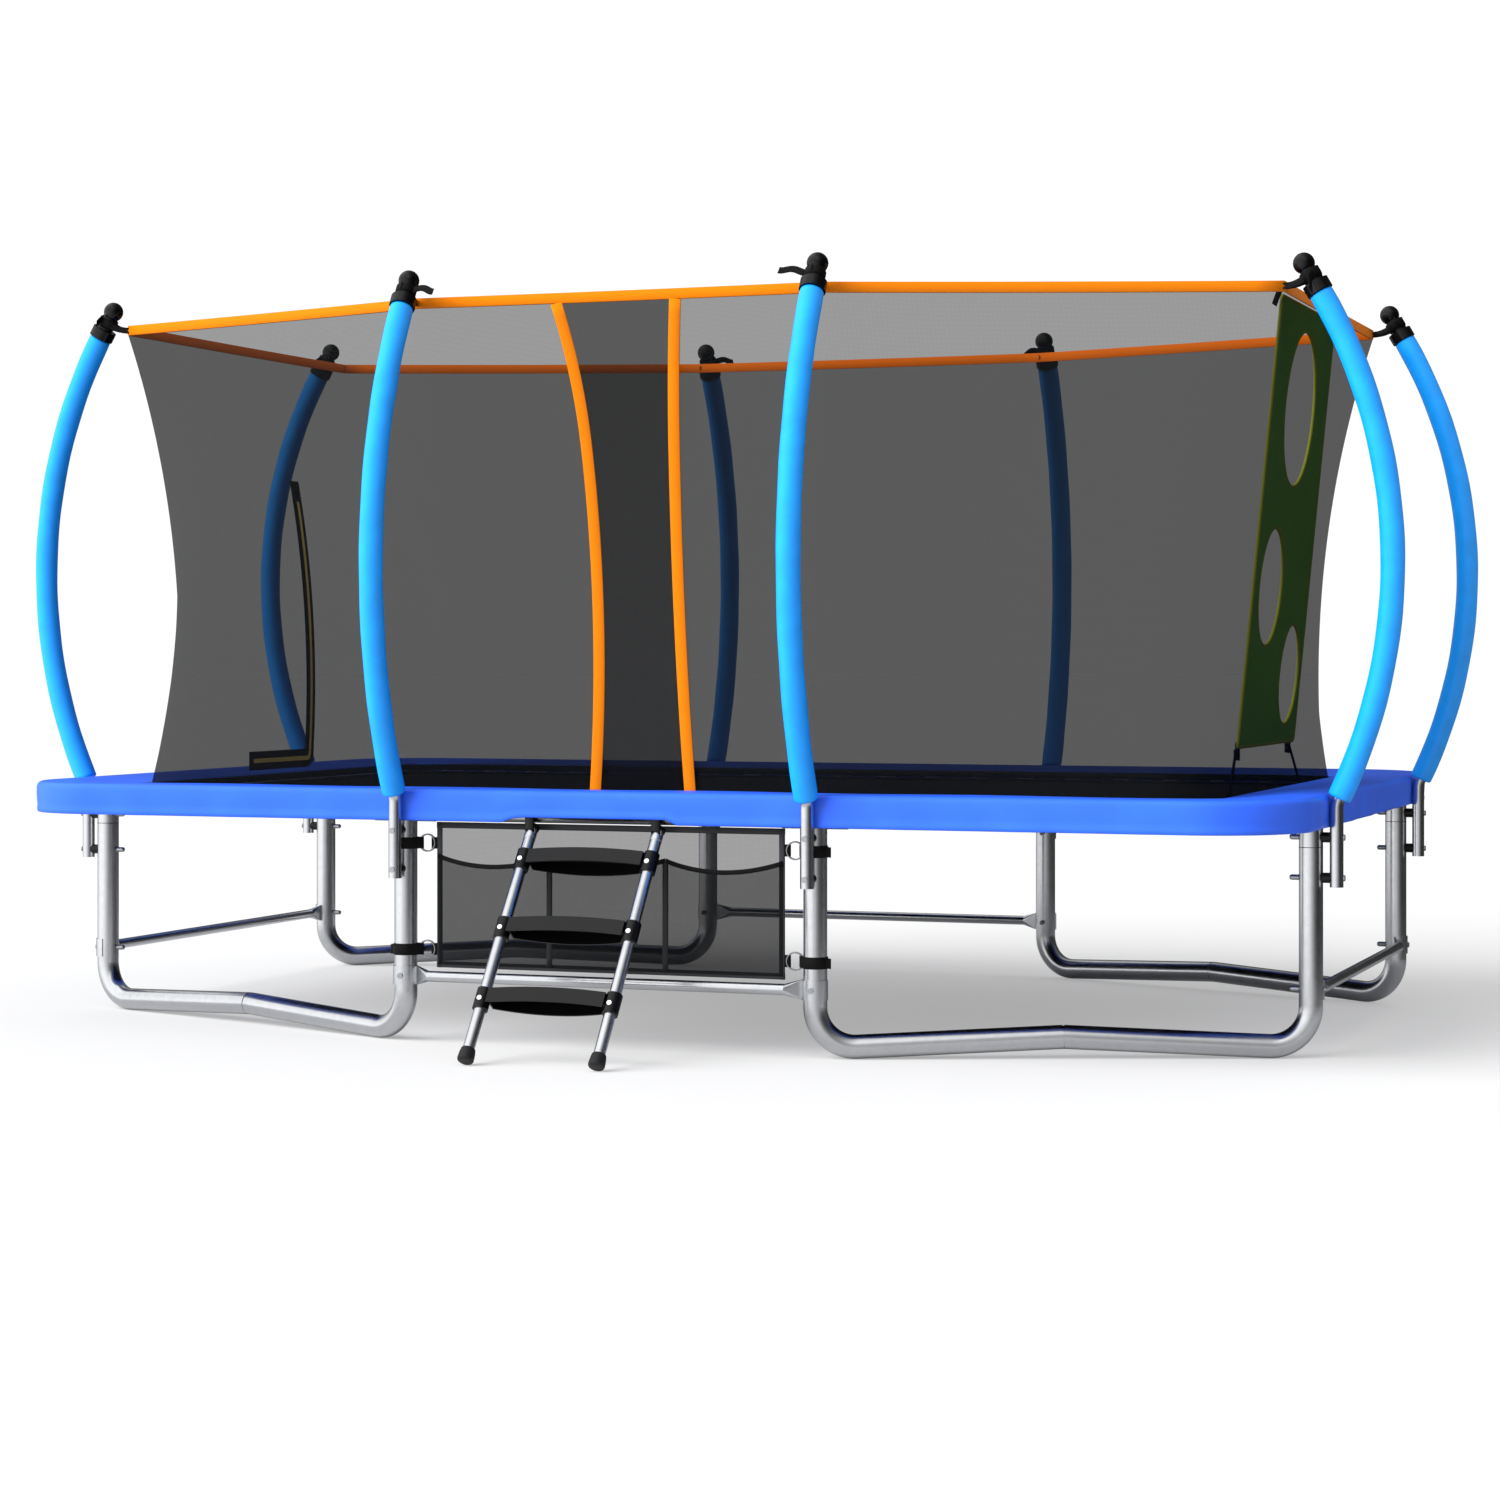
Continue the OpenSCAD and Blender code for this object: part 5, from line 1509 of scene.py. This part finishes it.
@dataclass(frozen=True)
class NetStraps:
    """Webbing at the pole caps: turns round the neck, a loop to the net's corner and a loose tail.

    Each tail has a length, the side that it leaves on and the angle in degrees at which it rises.
    """

    legs: Legs = Legs()
    sleeves: PoleSleeves = PoleSleeves()
    lean: float = 29.7
    rise: float = 0.048
    neck: float = 0.021
    wide: float = 0.022
    thick: float = 0.0022
    loop_wide: float = 0.018
    corner: tuple[float, float, float] = (-0.070, 0.0, 1.931)
    long_end: int = 4
    tails: tuple[tuple[float, float, float], ...] = (
        (0.016, 1.0, 0.0), (0.062, 1.0, 0.0), (0.070, -1.0, 14.0), (0.060, -1.0, -35.0),
        (0.066, -1.0, 8.0), (0.048, 1.0, -6.0), (0.060, -1.0, 4.0), (0.040, 1.0, -12.0))

    def axis(self) -> tuple[Array, Array, Array]:
        """The neck's middle, the pole's direction there and its outward normal, in the leg's plane.

        Returns:
            A point and two unit vectors.
        """
        s = self.sleeves
        a = math.radians(self.lean)
        out = np.array([math.cos(a), 0, math.sin(a)])
        up = np.array([-math.sin(a), 0, math.cos(a)])
        return np.array([s.centre_out, 0, s.centre_z]) + s.curve * out + self.rise * up, up, out

    def wrap(self) -> Shape:
        """Three turns of webbing wound up the neck, each over the edge of the last.

        Returns:
            A closed band.
        """
        middle, up, out = self.axis()
        a = np.linspace(0, 3 * TAU, 100)
        radius = self.neck + 0.002 + 0.0035 * a / a[-1] + 0.0012 * np.sin(3 * a)
        direction = np.cos(a)[:, None] * out + np.sin(a)[:, None] * Y
        path = middle + radius[:, None] * direction + (0.008 * (a / a[-1] - 0.5))[:, None] * up
        return carried(path, up, direction, band_profile(self.wide, self.thick))

    def loop(self) -> Shape:
        """A slack loop from the neck down to the net's upper corner: two strands that twist and meet.

        Returns:
            Both strands.
        """
        middle, _, _ = self.axis()
        reach = np.array(self.corner) - middle
        share = np.linspace(0, 1, 12)[:, None]
        strands = []
        for sign in (1, -1):
            spread = sign * (self.neck + 0.003) * (1 - share) ** 1.5
            path = middle + share * reach + spread * Y - 0.006 * np.sin(share * math.pi) * Z
            along = tangents(path)
            across = unit(np.cross(along, Y))
            twist = np.radians(sign * 25 * share)
            turned = across * np.cos(twist) + np.cross(across, along) * np.sin(twist)
            strands.append(carried(path, turned, np.cross(along, turned),
                                   band_profile(self.loop_wide, self.thick)))
        return joined(strands)

    def end(self) -> Shape:
        """The one loop end left long: it hangs from the net's corner, a little outward at its tip.

        Returns:
            A closed band.
        """
        share = np.linspace(0, 1, 9)
        drop = stacked(-0.004 - 0.022 * share, 0.004 + 0.016 * share ** 2, -0.044 * share)
        path = np.array(self.corner) + drop
        along = tangents(path)
        across = unit(np.cross(along, np.array([0.3, 1.0, 0])))
        return carried(path, across, np.cross(along, across), band_profile(0.016, self.thick))

    def tail(self, length: float, way: float, lift: float) -> Shape:
        """A loose end that leaves the neck sideways and curls.

        Args:
            length: its length.
            way: 1 or -1, the side that it leaves on.
            lift: the angle in degrees at which it rises.

        Returns:
            A closed band.
        """
        middle, up, out = self.axis()
        share = np.linspace(0, 1, 16)[:, None]
        path = middle + (self.neck + 0.004 + length * share) * way * 0.97 * Y + 0.010 * out
        path = path + length * share * math.tan(math.radians(lift)) * Z
        path = path + 0.010 * share * np.sin(share * 5) * up
        along = tangents(path)
        across = unit(np.cross(out, along))
        return carried(path, across, np.cross(along, across), band_profile(0.020, 0.0024))

    def build(self, finish: Materials) -> None:
        """Wraps, loops and tails for all eight caps.

        Args:
            finish: every material by its name in the palette.
        """
        for number, ((place, angle), tail) in enumerate(zip(self.legs.stations(), self.tails), 1):
            parts = [self.wrap(), self.loop(), self.tail(*tail)]
            if number == self.long_end:
                parts.append(self.end())
            piece(f"net_strap_{number}", joined(parts).moved(self.legs.turn(angle), place),
                  finish["webbing"], ("net_straps",))


# ------------------------------------------------------------------ target board


@dataclass(frozen=True)
class TargetBoard:
    """The green board inside the right wall: a thin padded sheet with three round holes."""

    front_y: float = -0.640
    width: float = 0.740
    low: tuple[float, float] = (1.5320, 0.773)
    high: tuple[float, float] = (1.645, 1.912)
    thick: float = 0.006
    edge: float = 0.060
    holes: tuple[float, float, float] = (0.405, 0.305, 0.268)
    hole_heights: tuple[float, float] = (0.36, 0.16)
    cells: tuple[int, int] = (75, 115)
    binding: tuple[float, float] = (0.0046, 0.0048)
    tie_places: tuple[tuple[float, float], ...] = ((0.030, -0.010), (0.710, 0.300))
    tie_foot: tuple[float, float] = (1.5036, 0.634)
    tie: float = 0.0030
    clip: tuple[float, float, float] = (0.008, 0.014, 0.018)

    def lean(self) -> tuple[Array, Array, float]:
        """Direction up the board, its outward normal and its height.

        Returns:
            Two unit vectors and a length.
        """
        rise = np.array([self.high[0] - self.low[0], 0, self.high[1] - self.low[1]])
        tall = float(np.linalg.norm(rise))
        up = rise / tall
        return up, np.array([up[2], 0, -up[0]]), tall

    def circles(self) -> list[tuple[Array, float]]:
        """Each hole's centre, along and up the board, and its radius.

        Returns:
            A centre and a radius for each hole, the largest first.
        """
        _, _, tall = self.lean()
        large, middle, small = (d / 2 for d in self.holes)
        return [(np.array([self.width / 2, tall - self.edge - large]), large),
                (np.array([self.edge + middle, tall * self.hole_heights[0]]), middle),
                (np.array([self.width - self.edge / 2 - small, tall * self.hole_heights[1]]), small)]

    def placed(self, flat: Array, off: float = 0.0) -> Array:
        """Points (along, up) of the board's plane in space, off by a distance along its normal."""
        up, normal, _ = self.lean()
        origin = np.array([self.low[0], self.front_y, self.low[1]])
        return origin + flat[..., :1] * Y + flat[..., 1:] * up + off * normal

    def sheet(self) -> Shape:
        """Cells of a grid pulled onto the holes' rims: a point inside a rim's band moves out to the rim.

        Cells whose middle lies in a hole are left out, and the two faces are joined along all rims.

        Returns:
            A closed surface.
        """
        _, _, tall = self.lean()
        nx, ny = self.cells
        x, y = np.meshgrid(np.linspace(0, self.width, nx), np.linspace(0, tall, ny))
        step = tall / (ny - 1)
        flat = stacked(x, y)
        keep = np.ones((ny - 1, nx - 1), bool)
        for centre, r in self.circles():
            away = flat - centre
            far = np.linalg.norm(away, axis=-1, keepdims=True)
            near = np.abs(far - r) < 0.75 * step
            flat = np.where(near, centre + away / np.maximum(far, 1e-9) * r, flat)
            middle = (flat[1:, 1:] + flat[:-1, :-1] + flat[1:, :-1] + flat[:-1, 1:]) / 4
            keep &= np.linalg.norm(middle - centre, axis=-1) > r
        quads = grid_quads(ny, nx)[keep.ravel()]
        count = nx * ny
        edges = np.concatenate([quads[:, [k, (k + 1) % 4]] for k in range(4)])
        codes, back = edges @ [count, 1], edges @ [1, count]
        rim = edges[~np.isin(codes, back)]
        walls = np.stack([rim[:, 1], rim[:, 0], rim[:, 0] + count, rim[:, 1] + count], -1)
        half = self.thick / 2
        points = np.concatenate([self.placed(flat, off).reshape(-1, 3) for off in (-half, half)])
        uv = np.tile(flat.reshape(-1, 2), (2, 1))
        return Shape(points, np.concatenate([quads, quads[:, ::-1] + count, walls]), uv=uv).flipped()

    def bindings(self) -> Shape:
        """Olive binding folded over the outline and every rim.

        Returns:
            All bindings as one surface.
        """
        _, normal, tall = self.lean()
        rim, border = self.binding
        rims = [circle(r + 0.001, 72) + centre for centre, r in self.circles()]
        outline, _ = rounded_rectangle(self.width / 2, tall / 2, 0.012, 0.05)
        lines = [(flat, rim) for flat in rims] + [(outline + [self.width / 2, tall / 2], border)]
        return joined([tube(self.placed(flat), r, 8, normal, loop=True) for flat, r in lines])

    def ties(self) -> tuple[Shape, Shape]:
        """Doubled elastic ties from the lower corners to the net's foot, and their clips.

        Returns:
            The ties with the turns round their upper ends, and the clips.
        """
        straps, clips = [], []
        share = np.linspace(0, 1, 14)[:, None]
        spin = np.linspace(0, 5 * TAU, 70)
        turns = stacked(0.006 * np.cos(spin), 0.007 * np.sin(spin), -0.010 - 0.026 * spin / spin[-1])
        for along, drift in self.tie_places:
            top = self.placed(np.array([[along, 0.004]]))[0] - 0.009 * X
            foot = np.array([self.tie_foot[0], top[1] + drift, self.tie_foot[1]])
            for side in (-1, 1):
                path = top + (foot - top) * share + side * 0.004 * np.sin(share * math.pi) * Y
                straps.append(tube(path, self.tie, 8, Y))
            straps.append(tube(top + turns, 0.0029, 6, np.array([0.01, 0.02, 1])))
            spots = np.stack([top + [0.001, 0, -0.002], foot + [0, 0, 0.010]])
            clips.append(boxes(spots, (X, Y, Z), np.array(self.clip)))
        return joined(straps), joined(clips)

    def build(self, finish: Materials) -> None:
        """Board, binding and ties.

        Args:
            finish: every material by its name in the palette.
        """
        made = piece("board_sheet", self.sheet(), finish["board"], ("target_board",),
                     smooth=False)
        piece("board_binding", self.bindings(), finish["piping"])
        straps, clips = self.ties()
        piece("board_ties", straps, finish["webbing"], ("target_cords",))
        piece("board_tie_clips", clips, finish["plastic"], smooth=False)


# ------------------------------------------------------------------ organiser


@dataclass(frozen=True)
class Organiser:
    """The mesh organiser between the front legs: border, panel, three pockets, straps and rings."""

    legs: Legs = Legs()
    width: float = 0.962
    low: float = 0.193
    high: float = 0.572
    border: float = 0.016
    tucked: float = 0.005
    pocket_top: float = 0.485
    sag: float = 0.026
    bulge: float = 0.016
    strap_z: tuple[float, float] = (0.240, 0.517)
    ring: float = 0.022
    wire: float = 0.00175
    strap_wide: float = 0.030
    leg: float = 0.0302
    bar: float = 0.0035
    back: float = 0.012
    divider: float = 0.016

    @property
    def plane(self) -> float:
        """The panel's place in Y, a little behind the line of the side legs."""
        return -self.legs.side_y + self.back

    def frame_border(self) -> Shape:
        """Four bindings round the panel, as bands that cross at the corners.

        Returns:
            The four bands.
        """
        half, inset = self.width / 2, self.border / 2
        made = []
        for z in (self.low + inset, self.high - inset):
            path = stacked(np.linspace(-half, half, 40), self.plane, z)
            made.append(carried(path, Z, -Y, band_profile(self.border, 0.0036)))
        for x in (-half + inset, half - inset):
            path = stacked(x, self.plane, np.linspace(self.low, self.high, 20))
            made.append(carried(path, X, Y, band_profile(self.border, 0.0042)))
        return joined(made)

    def panel(self) -> Array:
        """The grid of the mesh panel inside the border, very slightly wavy.

        Returns:
            Rows from the foot up.
        """
        half = self.width / 2 - 0.006
        x, z = np.meshgrid(
            np.linspace(-half, half, 60), np.linspace(self.low + 0.006, self.high - 0.006, 20))
        return stacked(x, self.plane + 0.0008 * np.sin(x * 9), z)

    def pocket(self, a: float, b: float) -> Array:
        """A pocket: it bulges out between its dividers, and its hem hangs in the middle.

        Args:
            a: where it starts in X.
            b: where it ends.

        Returns:
            Its grid.
        """
        u, v = np.meshgrid(np.linspace(0, 1, 25), np.linspace(0, 1, 15))
        belly = 4 * u * (1 - u)
        foot = self.low + self.border / 2
        z = foot + (self.pocket_top - self.sag * belly - foot) * v
        y = self.plane - 0.003 - self.bulge * np.sqrt(np.clip(belly, 0, 1)) * eased(0.25 + v)
        return stacked(a + (b - a) * u, y, z)

    def hem(self, path: Array) -> Shape:
        """The binding along a pocket's upper edge."""
        return carried(path, unit(np.cross(-Y, tangents(path))), -Y, band_profile(0.012, 0.0026))

    def divider_band(self, x: float) -> Shape:
        """The upright binding between two pockets."""
        path = stacked(x, self.plane - 0.0045, np.linspace(self.low + 0.01, self.pocket_top, 12))
        return carried(path, X, Y, band_profile(self.divider, 0.0022))

    def turn_round(self, big: Array, big_r: float, small: Array, z: float) -> Array:
        """A band's way round a large and a small bar: an arc on each and straight runs between.

        Args:
            big: the large bar's place in plan.
            big_r: the band's radius round it.
            small: the small bar's place; the band's radius there is that of a ring's bar.
            z: the band's height.

        Returns:
            A closed path.
        """
        toward = 1 if big[0] > small[0] else -1
        a = math.degrees(math.acos((big_r - self.bar) / abs(big[0] - small[0])))
        wide = arc(big_r, a, 360 - a, 26) * [-toward, 1] + big
        narrow = arc(self.bar, -a, a, 9) * [-toward, 1] + small
        return lifted(np.concatenate([wide, narrow]), z)

    def strap(self, sign: int, z: float) -> tuple[Shape, Shape]:
        """Webbing round a leg and through a pair of rings, and the rings.

        Args:
            sign: 1 on the right, -1 on the left.
            z: its height.

        Returns:
            The webbing with its tongue, and the rings.
        """
        ring_x = self.width / 2 + self.ring + 0.005
        chord = math.sqrt(self.ring ** 2 - (self.strap_wide / 2) ** 2)
        side = np.array([sign, 1.0, 1.0])
        leg = np.array([self.legs.side_x, -self.legs.side_y])
        border = np.array([self.width / 2 + 0.002, self.plane])
        shapes = []
        for big, big_r, x in ((leg, self.leg + 0.0012, ring_x + chord - 0.0005),
                              (border, self.bar, ring_x - chord)):
            path = self.turn_round(big, big_r, np.array([x, self.plane]), z) * side
            out = unit(np.cross(tangents(path, loop=True), Z))
            shapes.append(carried(path, Z, out, band_profile(self.strap_wide, 0.0022), loop=True))
        share = np.linspace(0, 1, 8)
        tongue = stacked(leg[0] + 0.028 + 0.014 * share, leg[1] - 0.010 + 0.008 * share, z - 0.002 * share)
        tongue = tongue * side
        out = unit(np.cross(tangents(tongue), Z))
        shapes.append(carried(tongue, Z, out, band_profile(0.026, 0.003)))
        round_ = circle(self.ring, 40)
        rings = [
            tube(stacked(ring_x + round_[:, 0], self.plane + shift, z + round_[:, 1]) * side,
                 self.wire, 8, Y, loop=True)
            for shift in (-0.0036, 0.0036)]
        return joined(shapes), joined(rings)

    def build(self, finish: Materials) -> None:
        """Panel, border, pockets, dividers, straps and rings.

        Args:
            finish: every material by its name in the palette.
        """
        cloth("organiser_back", self.panel(), finish["pocket"], "organiser_panel")
        piece("organiser_border", self.frame_border(), finish["border"])
        third = self.width / 6
        half = self.width / 2 - 0.004
        hems = []
        for name, a, b in (("left", -half, -third), ("middle", -third, third), ("right", third, half)):
            grid = self.pocket(a, b)
            cloth(f"pocket_{name}", grid, finish["pocket"], "organiser_pockets")
            hems.append(self.hem(grid[-1]))
        dividers = [self.divider_band(x) for x in (-third, third)]
        piece("pocket_hems", joined(hems), finish["webbing"])
        piece("pocket_dividers", joined(dividers), finish["divider"])
        pairs = [self.strap(sign, z) for sign in (-1, 1) for z in self.strap_z]
        straps, rings = map(list, zip(*pairs))
        piece("organiser_webbing", joined(straps), finish["webbing"],
              ("organiser_straps",))
        piece("organiser_rings", joined(rings), finish["fastener"])


# ------------------------------------------------------------------ studio


@dataclass(frozen=True)
class Studio:
    """A pale floor, a soft key light from the front left, a studio round it and the camera."""

    eye: tuple[float, float, float] = (3.216, -8.836, 1.010)
    heading: float = math.radians(20.08)
    focal_px: float = 3275.3
    image: float = 1500.0
    horizon_px: float = 653.7
    sensor: float = 36.0
    far: float = 400.0
    key_from: tuple[float, float, float] = (-0.62, -0.60, 0.50)
    key_away: float = 10.0
    key_power: float = 6.2
    key_angle: float = math.radians(60)
    sky: float = 0.80
    panels: float = 1.5
    backdrop: float = 1.05
    floor_radius: float = 150.0
    floor_sides: int = 128
    floor_drop: float = 0.0005
    floor_glow: float = 0.35
    floor_grey: float = 0.60
    floor_thrown: float = 0.45
    mirrored: tuple[float, float] = (1.9, 3.4)
    panel_from: tuple[float, float, float] = (-0.75, -0.66, 0.0)
    around: tuple[tuple[float, float], ...] = (
        (0.0, 0.04), (0.18, 0.02), (0.36, 0.05), (0.50, 0.15), (0.66, 0.36), (0.88, 0.80), (0.97, 1.0))
    overhead: tuple[tuple[float, float], ...] = ((0.30, 0.08), (0.50, 0.45), (0.64, 1.0))
    overhead_from: tuple[float, float] = (0.30, 0.75)

    def camera(self) -> None:
        """A level camera; the lens and the upward shift follow from the focal length in pixels."""
        data = bpy.data.cameras.new("camera")
        data.sensor_width = self.sensor
        data.lens = self.focal_px / self.image * self.sensor
        data.shift_y = (self.horizon_px - self.image / 2) / self.image
        data.clip_end = self.far
        made = bpy.data.objects.new("camera", data)
        made.location = self.eye
        made.rotation_euler = (math.pi / 2, 0, self.heading)
        bpy.context.scene.collection.objects.link(made)
        bpy.context.scene.camera = made

    def ground(self) -> bpy.types.Material:
        """The floor's look: what it throws back on the object is damped, as on a matt sweep.

        What gleams sees the ground near the object only, and the studio's flats beyond it.

        Returns:
            The material.
        """
        material = bpy.data.materials.new("white_studio_floor")
        material.use_nodes = True
        tree = material.node_tree
        tree.nodes.clear()
        ray = add(tree, "ShaderNodeLightPath").outputs
        lit = add(tree, "ShaderNodeBsdfDiffuse", {"Color": grey(self.floor_grey)})
        glow = add(tree, "ShaderNodeEmission", {"Color": grey(1.0), "Strength": 1.0})
        seen = add(tree, "ShaderNodeMixShader", {0: self.floor_glow, 1: lit.outputs[0], 2: glow.outputs[0]})
        thrown = add(tree, "ShaderNodeBsdfDiffuse", {"Color": grey(self.floor_thrown)})
        where = add(tree, "ShaderNodeTexCoord").outputs["Object"]
        away = add(tree, "ShaderNodeVectorMath", {0: where}, operation="LENGTH")
        far = add(tree, "ShaderNodeMapRange", {
            "Value": away.outputs["Value"], "From Min": self.mirrored[0], "From Max": self.mirrored[1]},
                  interpolation_type="SMOOTHSTEP")
        clear = add(tree, "ShaderNodeBsdfTransparent")
        fading = add(tree, "ShaderNodeMixShader", {
            0: far.outputs[0], 1: thrown.outputs[0], 2: clear.outputs[0]})
        unseen = add(tree, "ShaderNodeMixShader", {
            0: ray["Is Glossy Ray"], 1: thrown.outputs[0], 2: fading.outputs[0]})
        mix = add(tree, "ShaderNodeMixShader", {
            0: ray["Is Camera Ray"], 1: unseen.outputs[0], 2: seen.outputs[0]})
        add(tree, "ShaderNodeOutputMaterial", {"Surface": mix.outputs[0]})
        return material

    def floor(self) -> None:
        """A wide pale disc, a hair under the feet."""
        rim = lifted(circle(self.floor_radius, self.floor_sides))
        mesh = bpy.data.meshes.new("floor")
        mesh.from_pydata(rim.tolist(), [], [list(range(self.floor_sides))])
        mesh.materials.append(self.ground())
        made = bpy.data.objects.new("floor", mesh)
        made.location.z = -self.floor_drop
        bpy.context.scene.collection.objects.link(made)

    def key(self) -> None:
        """A broad sun: its wide angle gives the soft edge of every shadow."""
        data = bpy.data.lights.new("key", "SUN")
        data.energy = self.key_power
        data.angle = self.key_angle
        made = bpy.data.objects.new("key", data)
        back = Vector(self.key_from)
        made.location = self.key_away * back
        made.rotation_euler = back.to_track_quat("Z", "Y").to_euler()
        made.visible_glossy = False
        bpy.context.scene.collection.objects.link(made)

    def world(self) -> None:
        """White behind the object, an even sky on matt faces, and panels and dark flats in what gleams.

        The gleam's brightness follows the direction's share towards the front left, and above
        about 35 degrees it goes over to an overhead panel, which hangs over that side only.
        """
        world = bpy.data.worlds.new("studio")
        world.use_nodes = True
        tree = world.node_tree
        tree.nodes.clear()
        ray = add(tree, "ShaderNodeLightPath").outputs
        towards = add(tree, "ShaderNodeTexCoord").outputs["Generated"]
        height = add(tree, "ShaderNodeSeparateXYZ", {0: towards}).outputs["Z"]
        share = add(tree, "ShaderNodeVectorMath", {0: towards, 1: self.panel_from}, operation="DOT_PRODUCT")
        place = add(tree, "ShaderNodeMapRange", {"Value": share.outputs["Value"], "From Min": -1.0})
        around, above = (
            add(tree, "ShaderNodeValToRGB", {"Fac": place.outputs[0]},
                [(at, grey(value)) for at, value in band]).outputs["Color"]
            for band in (self.around, self.overhead))
        low, high = self.overhead_from
        lift = add(tree, "ShaderNodeMapRange", {"Value": height, "From Min": low, "From Max": high},
                   interpolation_type="SMOOTHSTEP")
        gleam = add(tree, "ShaderNodeMix", {0: lift.outputs[0], 6: around, 7: above}, data_type="RGBA")
        sky, panels, white = (
            add(tree, "ShaderNodeBackground", {"Color": colour, "Strength": strength}).outputs[0]
            for colour, strength in ((grey(1.0), self.sky), (gleam.outputs[2], self.panels),
                                     (grey(1.0), self.backdrop)))
        soft = add(tree, "ShaderNodeMixShader", {0: ray["Is Glossy Ray"], 1: sky, 2: panels})
        mix = add(tree, "ShaderNodeMixShader", {0: ray["Is Camera Ray"], 1: soft.outputs[0], 2: white})
        add(tree, "ShaderNodeOutputWorld", {"Surface": mix.outputs[0]})
        world.cycles.sampling_method = "NONE"
        bpy.context.scene.world = world

    def build(self) -> None:
        """Camera, floor, light and world, with plain sRGB viewing."""
        self.camera()
        self.floor()
        self.key()
        self.world()
        bpy.context.scene.view_settings.view_transform = "Standard"


def main() -> None:
    """Builds every sub-assembly in order."""
    logging.basicConfig(level=logging.INFO, format="%(name)s %(message)s")
    Studio().build()
    finish = Palette().made()
    Steelwork().dress(finish)
    for part in (LegSeams(), LadderEnds(), PoleSleeves(), Bed(), Springs(), SafetyPad(),
                 Enclosure(), Zip(), NetStraps(), TargetBoard(), Organiser()):
        part.build(finish)


if __name__ == "__main__":
    main()
